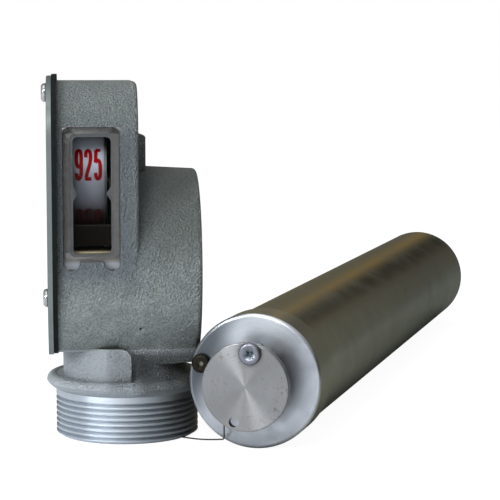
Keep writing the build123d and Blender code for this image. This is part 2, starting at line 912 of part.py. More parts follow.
# Drum shaft with the arbor of the mainspring turned on it
arbor_left = barrel_left - 2 * running
arbor_right = barrel_right - barrel_wall - 2 * running
drum_shaft_left = right_plate_x - running
drum_shaft_right = boss_inner_right + end_bush_bite - 2 * running
with BuildPart() as drum_shaft:
    turned(
        [
            (drum_shaft_left, 0),
            (drum_shaft_left, drum_shaft_radius),
            (arbor_left, drum_shaft_radius),
            (arbor_left, arbor_radius),
            (arbor_right, arbor_radius),
            (arbor_right, drum_shaft_radius),
            (drum_shaft_right, drum_shaft_radius),
            (drum_shaft_right, 0),
        ],
        0,
        spindle_z,
    )
save(drum_shaft.part, "drum_shaft")

drum_right = drum_left + drum_width
drum_web_left = drum_left + (drum_width - drum_rim) / 2
drum_web_right = drum_web_left + drum_rim
drum_bore = drum_shaft_radius + seat
drum_hub_left = gear_x + gear_width + running
drum_hub_right = arbor_left - running
drum_inner = drum_radius - drum_rim
drum_edge = drum_radius + drum_flange
with BuildPart() as wire_drum:
    turned(
        [
            (drum_hub_left, drum_bore),
            (drum_hub_right, drum_bore),
            (drum_hub_right, drum_hub_radius),
            (drum_web_right, drum_hub_radius),
            (drum_web_right, drum_inner),
            (drum_right, drum_inner),
            (drum_right, drum_edge),
            (drum_right - drum_flange_width, drum_edge),
            (drum_right - drum_flange_width, drum_radius),
            (drum_left + drum_flange_width, drum_radius),
            (drum_left + drum_flange_width, drum_edge),
            (drum_left, drum_edge),
            (drum_left, drum_inner),
            (drum_web_left, drum_inner),
            (drum_web_left, drum_hub_radius),
            (drum_hub_left, drum_hub_radius),
        ],
        0,
        spindle_z,
    )
save(wire_drum.part, "wire_drum")

with BuildPart() as drum_winding:
    ring(
        drum_radius + wire_diameter,
        drum_radius + seat,
        0,
        spindle_z,
        wire_lead_x + wire_diameter,
        drum_right - drum_flange_width - seat,
    )
save(drum_winding.part, "drum_winding")

with BuildPart() as drum_gear:
    with BuildSketch(across(gear_x)):
        with BuildLine():
            points = gear_outline(drum_teeth, centre_line)
            Polyline(*[(y, spindle_z + z) for y, z in points], close=True)
        make_face()
        with Locations((0, spindle_z)):
            Circle(drum_bore, mode=Mode.SUBTRACT)
    extrude(amount=gear_width)
save(drum_gear.part, "drum_gear")

# Spring motor in the boss: an open barrel, its lid, the flat spiral spring and three screws
with BuildPart() as spring_barrel:
    turned(
        [
            (barrel_left + barrel_wall, barrel_radius),
            (barrel_right, barrel_radius),
            (barrel_right, barrel_bore),
            (barrel_right - barrel_wall, barrel_bore),
            (barrel_right - barrel_wall, barrel_radius - barrel_wall),
            (barrel_left + barrel_wall, barrel_radius - barrel_wall),
        ],
        0,
        spindle_z,
    )
    with BuildSketch(across(barrel_right)):
        with Locations((0, spindle_z)):
            with PolarLocations(barrel_screw_circle, barrel_screw_count, 90):
                Circle(barrel_screw_radius + seat)
    extrude(amount=-barrel_wall, mode=Mode.SUBTRACT)
save(spring_barrel.part, "spring_barrel")

with BuildPart() as barrel_lid:
    ring(barrel_radius, barrel_bore, 0, spindle_z, barrel_left, barrel_left + barrel_wall)
save(barrel_lid.part, "barrel_lid")

with BuildPart() as barrel_screws:
    with BuildSketch(across(barrel_right - barrel_wall)):
        with Locations((0, spindle_z)):
            with PolarLocations(barrel_screw_circle, barrel_screw_count, 90):
                Circle(barrel_screw_head)
    extrude(amount=-barrel_wall)
    with BuildSketch(across(barrel_right - barrel_wall)):
        with Locations((0, spindle_z)):
            with PolarLocations(barrel_screw_circle, barrel_screw_count, 90):
                Circle(barrel_screw_radius)
    extrude(amount=barrel_wall + barrel_screw_bite - seat)
save(barrel_screws.part, "barrel_screws")

spring_left = barrel_left + 2 * barrel_wall
spring_right = barrel_right - 3 * barrel_wall
spring_inner = arbor_radius + spring_play
spring_outer = barrel_radius - barrel_wall - spring_strip - seat
with BuildPart() as mainspring:
    with BuildSketch(across(spring_left)):
        with BuildLine():
            steps = spring_turns * spring_points
            inside = []
            outside = []
            for step in range(steps + 1):
                turn = 2 * math.pi * spring_turns * step / steps
                radius = spring_inner + (spring_outer - spring_inner) * step / steps
                for side, extra in ((inside, 0), (outside, spring_strip)):
                    reach = radius + extra
                    side.append((reach * math.cos(turn), spindle_z + reach * math.sin(turn)))
            Polyline(*inside, *reversed(outside), close=True)
        make_face()
    extrude(amount=spring_right - spring_left)
save(mainspring.part, "mainspring")

# Wire guide pressed into the floor of the case from below
with BuildPart() as wire_guide:
    with BuildSketch(Plane.XY.offset(stub_bore_depth - guide_flange)):
        Circle(guide_flange_radius)
    extrude(amount=guide_flange)
    with BuildSketch(Plane.XY.offset(stub_bore_depth)):
        Circle(guide_radius)
    extrude(amount=guide_top - stub_bore_depth)
    with BuildSketch(Plane.XY):
        Circle(guide_bore)
    extrude(amount=guide_top, mode=Mode.SUBTRACT)
    mouths = edges().filter_by(GeomType.CIRCLE).filter_by(lambda e: abs(e.radius - guide_bore) < match)
    fillet(mouths, guide_mouth)
save(wire_guide.part, "wire_guide")

# Wire inside the head: off the back of the drum, through the guide and out under the rim
wire_radius = wire_diameter / 2
wound_radius = drum_radius + wire_radius
lead_drop = spindle_z - guide_top
lead_turn = math.acos(wound_radius / lead_drop)
exit_point = notch_way * exit_radius + Vector(0, 0, exit_height)
inside_points = [
    Vector(
        wire_lead_x,
        wound_radius * math.sin(lead_turn),
        spindle_z - wound_radius * math.cos(lead_turn),
    ),
    Vector(0, 0, guide_top),
    Vector(0, 0, stub_bore_depth - guide_flange - guide_lead),
    notch_way * (stub_bore_radius - 2 * wire_radius) + Vector(0, 0, exit_height),
    exit_point,
]
with BuildPart() as inner_wire:
    with BuildLine() as path:
        FilletPolyline(*inside_points, radius=route(inside_points))
    with BuildSketch(Plane(origin=inside_points[0], z_dir=path.line % 0)):
        Circle(wire_radius)
    sweep(path=path.line)
save(inner_wire.part, "inner_wire")

# Wire outside the head: across to the float, a kink, and up behind the disc to the winding
outside_points = [exit_point] + [Vector(*point) for point in crossing]
outside_points += [by_float(*point) for point in [kink] + rise]
with BuildPart() as suspension_wire:
    with BuildLine() as path:
        FilletPolyline(*outside_points, radius=route(outside_points))
    with BuildSketch(Plane(origin=outside_points[0], z_dir=path.line % 0)):
        Circle(wire_radius)
    sweep(path=path.line)
save(suspension_wire.part, "suspension_wire")
wire_length = sum(edge.length for edge in path.edges())
print("wire corner radii", [round(radius, 2) for radius in route(outside_points)])
print("wire runs", [round((b - a).length, 2) for a, b in zip(outside_points, outside_points[1:])])
print("wire length", round(wire_length, 2), "volume", round(suspension_wire.part.volume, 3))
print("section times length", round(math.pi * wire_radius**2 * wire_length, 3))

# Float: flange, tube and end cap, welded into one sealed cylinder
with BuildPart() as float_flange:
    spigot_radius = tube_radius - tube_wall - seat
    float_turned(
        [
            (0, 0),
            (0, flange_radius),
            (flange_length, flange_radius),
            (flange_length, spigot_radius),
            (flange_length + spigot_length, spigot_radius),
            (flange_length + spigot_length, 0),
        ]
    )
    fillet(faces().sort_by(float_line)[0].edges(), flange_edge)
    with BuildSketch(float_plane(0)):
        with Locations(on_face(lock_screw_circle, lock_screw_angle)):
            Circle(lock_screw_radius + seat)
    extrude(amount=lock_screw_bite, mode=Mode.SUBTRACT)
    with BuildSketch(float_plane(0)):
        with Locations(on_face(plug_circle, plug_angle)):
            Circle(plug_radius + seat)
    extrude(amount=plug_bite, mode=Mode.SUBTRACT)
save(float_flange.part, "float_flange")

with BuildPart() as float_tube:
    tube_end = float_length - end_cap_thickness
    float_turned(
        [
            (flange_length, tube_radius - tube_wall),
            (flange_length, tube_radius),
            (tube_end, tube_radius),
            (tube_end, tube_radius - tube_wall),
        ]
    )
save(float_tube.part, "float_tube")

with BuildPart() as float_end_cap:
    float_turned(
        [
            (float_length, 0),
            (float_length, tube_radius),
            (tube_end, tube_radius),
            (tube_end, spigot_radius),
            (tube_end - end_cap_thickness, spigot_radius),
            (tube_end - end_cap_thickness, 0),
        ]
    )
    fillet(faces().sort_by(float_line)[-1].edges(), end_cap_edge)
save(float_end_cap.part, "float_end_cap")

# Wire spool on the float's face: hub and disc turned in one piece, locked by a screw
with BuildPart() as float_spool:
    float_turned(
        [
            (0, 0),
            (0, hub_radius),
            (-spool_gap, hub_radius),
            (-spool_gap, disc_radius),
            (-spool_gap - disc_thickness, disc_radius),
            (-spool_gap - disc_thickness, 0),
        ]
    )
    fillet(faces().sort_by(float_line)[0].edges(), disc_edge)
    with BuildSketch(float_plane(-spool_gap - disc_thickness)):
        with Locations(on_face(lock_screw_circle, lock_screw_angle)):
            Circle(lock_screw_radius + seat)
        with Locations(on_face(wire_hole_circle, wire_hole_angle)):
            Circle(wire_hole_radius)
    extrude(amount=spool_gap + disc_thickness, mode=Mode.SUBTRACT)
save(float_spool.part, "float_spool")

with BuildPart() as spool_winding:
    winding_start = -(spool_gap - winding_width) / 2
    float_turned(
        [
            (winding_start, hub_radius + seat),
            (winding_start, winding_radius),
            (winding_start - winding_width, winding_radius),
            (winding_start - winding_width, hub_radius + seat),
        ]
    )
save(spool_winding.part, "spool_winding")

with BuildPart() as spool_lock_screw:
    with BuildSketch(float_plane(-spool_gap - disc_thickness)):
        with Locations(on_face(lock_screw_circle, lock_screw_angle)):
            Circle(lock_screw_head)
    extrude(amount=-lock_screw_head_height)
    fillet(faces().sort_by(float_line)[0].edges(), lock_screw_dome)
    with BuildSketch(float_plane(-spool_gap - disc_thickness)):
        with Locations(on_face(lock_screw_circle, lock_screw_angle)):
            Circle(lock_screw_radius)
    extrude(amount=disc_thickness + spool_gap + lock_screw_bite - seat)
save(spool_lock_screw.part, "spool_lock_screw")

with BuildPart() as float_plug:
    with BuildSketch(float_plane(0)):
        with Locations(on_face(plug_circle, plug_angle)):
            Circle(plug_head)
    extrude(amount=-plug_head_height)
    fillet(faces().sort_by(float_line)[0].edges(), plug_dome)
    with BuildSketch(float_plane(0)):
        with Locations(on_face(plug_circle, plug_angle)):
            Circle(plug_radius)
    extrude(amount=plug_bite - seat)
save(float_plug.part, "float_plug")
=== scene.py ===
import bpy
import bmesh
import math
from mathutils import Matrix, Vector


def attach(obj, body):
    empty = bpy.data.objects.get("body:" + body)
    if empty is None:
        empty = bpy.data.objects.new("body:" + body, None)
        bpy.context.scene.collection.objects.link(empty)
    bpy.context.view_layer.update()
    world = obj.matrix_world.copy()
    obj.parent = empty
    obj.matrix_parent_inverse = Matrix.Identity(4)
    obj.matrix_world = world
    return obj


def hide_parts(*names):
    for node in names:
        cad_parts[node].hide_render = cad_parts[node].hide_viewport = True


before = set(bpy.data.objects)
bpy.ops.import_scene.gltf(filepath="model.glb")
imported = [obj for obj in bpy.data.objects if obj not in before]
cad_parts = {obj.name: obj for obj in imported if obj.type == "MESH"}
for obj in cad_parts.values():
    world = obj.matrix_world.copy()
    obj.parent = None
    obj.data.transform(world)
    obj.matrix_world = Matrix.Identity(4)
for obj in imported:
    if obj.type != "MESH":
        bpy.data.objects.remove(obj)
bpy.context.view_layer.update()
bpy.context.scene.view_settings.view_transform = "Standard"
print("frame loaded")


def addObject(name, data):
    made = bpy.data.objects.new(name, data)
    bpy.context.scene.collection.objects.link(made)
    return made


# Camera at the photograph's angle

cameraSettings = {
    "place": (-0.0210, -0.7498, 0.1551),
    "pitch": 5.97,
    "yaw": 5.57,
    "lens": 129.2,
    "sensor": 36,
}


def addCamera(s):
    data = bpy.data.cameras.new("photoCamera")
    data.lens = s["lens"]
    data.sensor_width = s["sensor"]
    camera = addObject("photoCamera", data)
    camera.location = s["place"]
    camera.rotation_euler = (math.radians(90 - s["pitch"]), 0, math.radians(-s["yaw"]))
    bpy.context.scene.camera = camera


addCamera(cameraSettings)


# The thin wire: from under the head's rim over the floor, then up to the float's hub

wireSettings = {
    "route": [
        (0.02288, -0.01846, 0.00045),
        (0.0257, -0.0208, 0.00045),
        (0.0292, -0.0258, 0.001),
        (0.033, -0.0324, 0.0022),
        (0.036, -0.0382, 0.00345),
        (0.03763, -0.04231, 0.00431),
        (0.03752, -0.04258, 0.00721),
        (0.0375, -0.04293, 0.01271),
        (0.03756, -0.04305, 0.01932),
        (0.03771, -0.04308, 0.02591),
    ],
    "diameter": 0.0006,
    "length": 0.0495,
    "roundness": 3,
    "fineness": 16,
}


def addWire(s):
    curve = bpy.data.curves.new("freeWire", "CURVE")
    curve.dimensions = "3D"
    curve.bevel_depth = 1  # times each point's radius, so the curve's own box stays as thin as the wire
    curve.bevel_resolution = s["roundness"]
    curve.resolution_u = s["fineness"]
    curve.use_fill_caps = True
    spline = curve.splines.new("NURBS")
    spline.points.add(len(s["route"]) - 1)
    for point, place in zip(spline.points, s["route"]):
        point.co = (*place, 1)
        point.radius = s["diameter"] / 2
    spline.order_u = 3
    spline.use_endpoint_u = True
    wire = addObject("freeWire", curve)
    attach(wire, "gauge_head")
    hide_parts("suspension_wire")
    return wire


freeWire = addWire(wireSettings)
print("wire laid")


# Node helpers: a value is what another node puts out, or a fixed number, vector or colour

def join(tree, value, socket):
    if isinstance(value, bpy.types.NodeSocket):
        tree.links.new(value, socket)
    elif isinstance(value, (int, float)):
        socket.default_value = value
    else:
        socket.default_value = (*value, 1) if len(socket.default_value) == 4 else tuple(value)


def addNode(tree, kind, *inputs, **options):
    made = tree.nodes.new("ShaderNode" + kind)
    for label, value in options.items():
        setattr(made, label, value)
    for socket, value in zip(made.inputs, inputs):
        join(tree, value, socket)
    return made


def calc(tree, operation, *inputs, clamp=False):
    return addNode(tree, "Math", *inputs, operation=operation, use_clamp=clamp).outputs[0]


def times(tree, first, second):
    return calc(tree, "MULTIPLY", first, second)


def plus(tree, first, second):
    return calc(tree, "ADD", first, second)


def vectorCalc(tree, operation, *inputs):
    made = addNode(tree, "VectorMath", *inputs, operation=operation)
    return made.outputs["Value" if operation in ("DOT_PRODUCT", "LENGTH") else "Vector"]


def scaleVector(tree, vector, factor):
    made = addNode(tree, "VectorMath", vector, operation="SCALE")
    join(tree, factor, made.inputs["Scale"])
    return made.outputs["Vector"]


def vectorOf(tree, x, y, z):
    return addNode(tree, "CombineXYZ", x, y, z).outputs[0]


def splitVector(tree, vector):
    return tuple(addNode(tree, "SeparateXYZ", vector).outputs)


def surfaceWay(tree):
    return addNode(tree, "NewGeometry").outputs["Normal"]


def remap(tree, value, low, high, toLow=0.0, toHigh=1.0, smooth=False):
    made = addNode(tree, "MapRange", interpolation_type="SMOOTHSTEP" if smooth else "LINEAR")
    labels = ("Value", "From Min", "From Max", "To Min", "To Max")
    for label, given in zip(labels, (value, low, high, toLow, toHigh)):
        join(tree, given, made.inputs[label])
    return made.outputs["Result"]


def noise(tree, vector, size, detail=2.0, roughness=0.5):
    made = addNode(tree, "TexNoise", vector)
    made.inputs["Scale"].default_value = 1 / size
    made.inputs["Detail"].default_value = detail
    made.inputs["Roughness"].default_value = roughness
    return made.outputs["Fac"]


mixSockets = {"FLOAT": (2, 0), "VECTOR": (4, 1), "RGBA": (6, 2)}  # first input and output of each kind


def mixAny(tree, kind, mask, first, second, blend="MIX"):
    made = addNode(tree, "Mix", mask, data_type=kind, blend_type=blend)
    start, result = mixSockets[kind]
    join(tree, first, made.inputs[start])
    join(tree, second, made.inputs[start + 1])
    return made.outputs[result]


def mixColor(tree, mask, first, second):
    return mixAny(tree, "RGBA", mask, first, second)


def mixValue(tree, mask, first, second):
    return mixAny(tree, "FLOAT", mask, first, second)


def tinted(tree, color, tint, mask, share):
    # A share of the way to the tint, where the mask is 1
    return mixColor(tree, times(tree, mask, share), color, tint)


def timesColor(tree, color, factor):
    return mixAny(tree, "RGBA", 1.0, color, vectorOf(tree, factor, factor, factor), "MULTIPLY")


def darker(color, share):
    return tuple(share * v for v in color)


def ramp(tree, value, stops):
    made = addNode(tree, "ValToRGB", value)
    band = made.color_ramp
    for index, (place, color) in enumerate(stops):
        stop = band.elements[index] if index < 2 else band.elements.new(place)
        stop.position = place
        stop.color = (*color, 1)
    return made.outputs["Color"]


# Studio: pale floor, soft light, and a dim room behind and to the right that the metal mirrors

studioSettings = {
    "floorSize": 6,
    "floorColor": (0.9, 0.91, 0.92),
    "floorRoughness": 0.8,
    "floorGlow": 0.82,
    "glowStrength": 1.16,
    # what surfaces see of the floor, in front on the left and behind on the right
    "nearFloor": (0.88, 0.9, 0.93),
    "farFloor": (0.2, 0.21, 0.18),
    # name, place, aim, size in metres, power and colour
    "lamps": [
        ("softTop", (-0.35, -0.25, 1.1), (0.05, 0.0, 0.05), 0.8, 3.0, (1, 1, 1)),
        ("softLeft", (-0.95, -0.75, 0.55), (0.0, 0.0, 0.06), 0.35, 8.5, (0.93, 0.97, 1)),
        ("softFront", (-0.35, -1.0, 0.75), (0.0, 0.0, 0.08), 0.3, 4.5, (1, 1, 0.97)),
    ],
    # height of the view direction, and the light that comes from there
    "brightSide": [
        (0.0, (0.58, 0.605, 0.61)),
        (0.35, (0.6, 0.625, 0.64)),
        (1.0, (0.7, 0.72, 0.74)),
    ],
    "dimSide": [
        (0.0, (0.05, 0.05, 0.042)),
        (0.3, (0.09, 0.09, 0.08)),
        (0.7, (0.36, 0.37, 0.38)),
        (1.0, (0.7, 0.72, 0.75)),
    ],
    # bands of the dim room: share of the turn from back to right, and their colour
    "bandTurn": (-10.0, 60.0),
    "bands": [
        (0.0, (0.12, 0.11, 0.078)),
        (0.27, (0.13, 0.115, 0.075)),
        (0.335, (0.25, 0.17, 0.06)),
        (0.38, (0.12, 0.09, 0.045)),
        (0.42, (0.03, 0.028, 0.018)),
        (0.49, (0.03, 0.028, 0.018)),
        (0.53, (0.09, 0.055, 0.035)),
        (0.56, (0.12, 0.12, 0.10)),
        (0.7, (0.14, 0.145, 0.125)),
        (1.0, (0.05, 0.05, 0.042)),
    ],
    "bandTop": (0.26, 0.36),
    # where the room and the floor turn dim, measured along this direction
    "dimWay": (0.9, 0.43, 0.0),
    "dimTurn": (-0.3, 0.15),
    "floorTurn": (-0.01, 0.09),
}


def mixShader(tree, mask, first, second):
    return addNode(tree, "MixShader", mask, first, second).outputs[0]


def cameraRay(tree):
    return addNode(tree, "LightPath").outputs["Is Camera Ray"]


def roomLight(tree, s):
    way = addNode(tree, "TexCoord").outputs["Generated"]
    x, y, z = splitVector(tree, way)
    height = calc(tree, "MAXIMUM", z, 0.0)
    dim = remap(tree, vectorCalc(tree, "DOT_PRODUCT", way, s["dimWay"]), *s["dimTurn"], smooth=True)
    low, high = (math.radians(v) for v in s["bandTurn"])
    bands = ramp(tree, remap(tree, calc(tree, "ARCTAN2", x, y), low, high), s["bands"])
    above = remap(tree, height, *s["bandTop"], smooth=True)
    dark = mixColor(tree, above, bands, ramp(tree, height, s["dimSide"]))
    return mixColor(tree, dim, ramp(tree, height, s["brightSide"]), dark)


def addWorld(s):
    # The camera sees white paper, surfaces see the room
    world = bpy.data.worlds.new("studioWorld")
    world.use_nodes = True
    tree = world.node_tree
    tree.nodes.clear()
    room = addNode(tree, "Background", roomLight(tree, s))
    paper = addNode(tree, "Background", (1, 1, 1))
    addNode(tree, "OutputWorld", mixShader(tree, cameraRay(tree), room.outputs[0], paper.outputs[0]))
    bpy.context.scene.world = world


def paleFloor(s):
    # The camera sees clean paper, the metal sees a floor that is dimmer behind on the right
    material = bpy.data.materials.new("paleFloor")
    material.use_nodes = True
    tree = material.node_tree
    shader = tree.nodes["Principled BSDF"]
    shader.inputs["Roughness"].default_value = s["floorRoughness"]
    seen = cameraRay(tree)
    place = addNode(tree, "TexCoord").outputs["Object"]
    aside = vectorCalc(tree, "DOT_PRODUCT", place, s["dimWay"])
    far = remap(tree, aside, *s["floorTurn"], smooth=True)
    mirrored = mixColor(tree, far, s["nearFloor"], s["farFloor"])
    join(tree, mixColor(tree, seen, mirrored, s["floorColor"]), shader.inputs["Base Color"])
    glow = addNode(tree, "Emission", (1, 1, 1), s["glowStrength"])
    shown = mixShader(tree, times(tree, seen, s["floorGlow"]), shader.outputs[0], glow.outputs[0])
    join(tree, shown, tree.nodes["Material Output"].inputs["Surface"])
    return material


def addFloor(s):
    half = s["floorSize"] / 2
    corners = [(-half, -half, 0), (half, -half, 0), (half, half, 0), (-half, half, 0)]
    mesh = bpy.data.meshes.new("floor")
    mesh.from_pydata(corners, [], [(0, 1, 2, 3)])
    mesh.materials.append(paleFloor(s))
    addObject("floor", mesh)


def addLamps(s):
    for name, place, aim, size, power, color in s["lamps"]:
        lamp = bpy.data.lights.new(name, "AREA")
        lamp.size = size
        lamp.energy = power
        lamp.color = color
        holder = addObject(name, lamp)
        holder.location = place
        holder.rotation_euler = (Vector(aim) - Vector(place)).to_track_quat("-Z", "Y").to_euler()


addWorld(studioSettings)
addFloor(studioSettings)
addLamps(studioSettings)
print("studio ready")


# Shared effects, as node groups that each material sets for itself; all lengths in millimetres

sandSettings = {
    # each noise: share of the Size input, detail and roughness
    "coarse": (1.0, 3.0, 0.6),
    "fine": (0.35, 2.0, 0.6),
    "sharp": (0.5, 1.0, 0.5),
    "fineHeight": 0.25,
    "lumpScale": 1.1,
    "lumpHeight": 0.5,
    "toneSpan": (0.3, 0.7),
    "sparkSpan": (0.62, 0.74),
}


def startGroup(name, inputs, outputs):
    group = bpy.data.node_groups.new(name, "ShaderNodeTree")
    for label, start in inputs.items():
        kind = "NodeSocketVector" if isinstance(start, tuple) else "NodeSocketFloat"
        socket = group.interface.new_socket(label, in_out="INPUT", socket_type=kind)
        socket.default_value = start
    for label in outputs:
        group.interface.new_socket(label, in_out="OUTPUT", socket_type="NodeSocketFloat")
    return group, group.nodes.new("NodeGroupInput").outputs, group.nodes.new("NodeGroupOutput").inputs


def useGroup(tree, group, **values):
    made = addNode(tree, "Group", node_tree=group)
    for label, value in values.items():
        join(tree, value, made.inputs[label])
    return made.outputs


def bySize(group, vector, size):
    return vectorCalc(group, "DIVIDE", vector, vectorOf(group, size, size, size))


def sizedNoise(group, vector, size, share, detail, roughness):
    # Noise whose grain is a share of a group's Size input
    return noise(group, bySize(group, vector, size), share, detail, roughness)


def makeSandCast(s):
    # Blasted skin of a sand casting: its relief, its tone and small shiny spots
    group, given, out = startGroup(
        "sandCast", {"Position": (0, 0, 0), "Size": 1.0}, ["Height", "Tone", "Spark"]
    )
    position, size = given["Position"], given["Size"]
    coarse, fine, sharp = (
        sizedNoise(group, position, size, *s[grain]) for grain in ("coarse", "fine", "sharp")
    )
    lumps = addNode(group, "TexVoronoi", bySize(group, position, size), feature="SMOOTH_F1")
    lumps.inputs["Scale"].default_value = s["lumpScale"]
    body = calc(group, "SUBTRACT", coarse, times(group, lumps.outputs["Distance"], s["lumpHeight"]))
    join(group, plus(group, body, times(group, fine, s["fineHeight"])), out["Height"])
    join(group, remap(group, coarse, *s["toneSpan"]), out["Tone"])
    join(group, remap(group, sharp, *s["sparkSpan"]), out["Spark"])
    return group


def makeBoxMask():
    # 1 inside a box between two corners, and soft across its sides
    group, given, out = startGroup(
        "boxMask", {"Position": (0, 0, 0), "Low": (0, 0, 0), "High": (1, 1, 1), "Soft": 0.1}, ["Mask"]
    )
    rising = vectorCalc(group, "SUBTRACT", given["Position"], given["Low"])
    falling = vectorCalc(group, "SUBTRACT", given["High"], given["Position"])
    nearest = bySize(group, vectorCalc(group, "MINIMUM", rising, falling), given["Soft"])
    x, y, z = splitVector(group, nearest)
    least = calc(group, "MINIMUM", calc(group, "MINIMUM", x, y), z)
    join(group, calc(group, "ADD", least, 0.5, clamp=True), out["Mask"])
    return group


def makeTurned():
    # Fine rings left by a lathe about an axis, with the distances from it and along it
    group, given, out = startGroup(
        "turnedRings",
        {"Position": (0, 0, 0), "Centre": (0, 0, 0), "Axis": (0, 0, 1), "Size": 0.3},
        ["Height", "Radius", "Along"],
    )
    arm = vectorCalc(group, "SUBTRACT", given["Position"], given["Centre"])
    along = vectorCalc(group, "DOT_PRODUCT", arm, given["Axis"])
    off = vectorCalc(group, "SUBTRACT", arm, scaleVector(group, given["Axis"], along))
    radius = vectorCalc(group, "LENGTH", off)
    rings = vectorOf(group, radius, along, 0.0)
    height = sizedNoise(group, rings, given["Size"], share=1.0, detail=3.0, roughness=0.7)
    join(group, height, out["Height"])
    join(group, radius, out["Radius"])
    join(group, along, out["Along"])
    return group


def makeMottle():
    # Soft uneven patches: 0 where clean, 1 where stained
    group, given, out = startGroup(
        "mottle", {"Position": (0, 0, 0), "Size": 10.0, "From": 0.45, "To": 0.7}, ["Mask"]
    )
    patches = sizedNoise(group, given["Position"], given["Size"], share=1.0, detail=4.0, roughness=0.6)
    join(group, remap(group, patches, given["From"], given["To"]), out["Mask"])
    return group


def makeCreases(samples=8):
    # 1 in corners and narrow gaps, where light is short; materials darken towards it as painted shade
    group, given, out = startGroup("creases", {"Reach": 0.01, "Sharpness": 1.0}, ["Mask"])
    cover = addNode(group, "AmbientOcclusion", samples=samples)
    join(group, given["Reach"], cover.inputs["Distance"])
    clear = calc(group, "POWER", cover.outputs["AO"], given["Sharpness"])
    join(group, calc(group, "SUBTRACT", 1.0, clear), out["Mask"])
    return group


sandCast = makeSandCast(sandSettings)
boxMask = makeBoxMask()
turnedRings = makeTurned()
mottle = makeMottle()
creases = makeCreases()
print("shared effects built")


# What every material starts from and shares. A mottle is given as size, start and end,
# a relief as grain size, detail and depth, and a painted corner shade as reach, share, tint and sharpness

def startMaterial(name, color, metallic, roughness, specular=0.5, brushed=0.0):
    material = bpy.data.materials.new(name)
    material.use_nodes = True
    tree = material.node_tree
    shader = tree.nodes["Principled BSDF"]
    shader.inputs["Base Color"].default_value = (*color, 1)
    shader.inputs["Metallic"].default_value = metallic
    shader.inputs["Roughness"].default_value = roughness
    shader.inputs["Specular IOR Level"].default_value = specular
    shader.inputs["Anisotropic"].default_value = brushed
    place = addNode(tree, "TexCoord").outputs["Object"]
    return material, tree, shader, scaleVector(tree, place, 1000)


def paint(tree, shader, color, rough=None):
    join(tree, color, shader.inputs["Base Color"])
    if rough is not None:
        join(tree, rough, shader.inputs["Roughness"])


def setBump(tree, shader, height, depth):
    bump = addNode(tree, "Bump")
    bump.inputs["Distance"].default_value = depth / 1000
    join(tree, height, bump.inputs["Height"])
    join(tree, bump.outputs["Normal"], shader.inputs["Normal"])


def roughen(tree, shader, position, size, detail, depth):
    setBump(tree, shader, noise(tree, position, size, detail), depth)


def mottled(tree, position, size, start, end):
    return useGroup(tree, mottle, Position=position, Size=size, From=start, To=end)["Mask"]


def boxed(tree, position, low, high, soft):
    return useGroup(tree, boxMask, Position=position, Low=low, High=high, Soft=soft)["Mask"]


def ringed(tree, position, centre, axis, size):
    return useGroup(tree, turnedRings, Position=position, Centre=centre, Axis=axis, Size=size)


def shade(tree, color, reach, share, tint, sharpness=1.5):
    # Painted shade: darker towards corners, within the reach
    mask = useGroup(tree, creases, Reach=reach / 1000, Sharpness=sharpness)["Mask"]
    return tinted(tree, color, tint, mask, share)


def acrossGrooves(tree, position, centre, axis):
    # Grooves run round the axis, so highlights stretch across them
    arm = vectorCalc(tree, "SUBTRACT", position, centre)
    groove = vectorCalc(tree, "NORMALIZE", vectorCalc(tree, "CROSS_PRODUCT", axis, arm))
    return vectorCalc(tree, "CROSS_PRODUCT", groove, surfaceWay(tree))


def wear(material, *labels):
    for label in labels:
        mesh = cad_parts[label].data
        mesh.materials.clear()
        mesh.materials.append(material)


alongX = (1.0, 0.0, 0.0)
alongZ = (0.0, 0.0, 1.0)
origin = (0.0, 0.0, 0.0)


# Cast aluminium of the head: grainy skin, machined thread and window recess

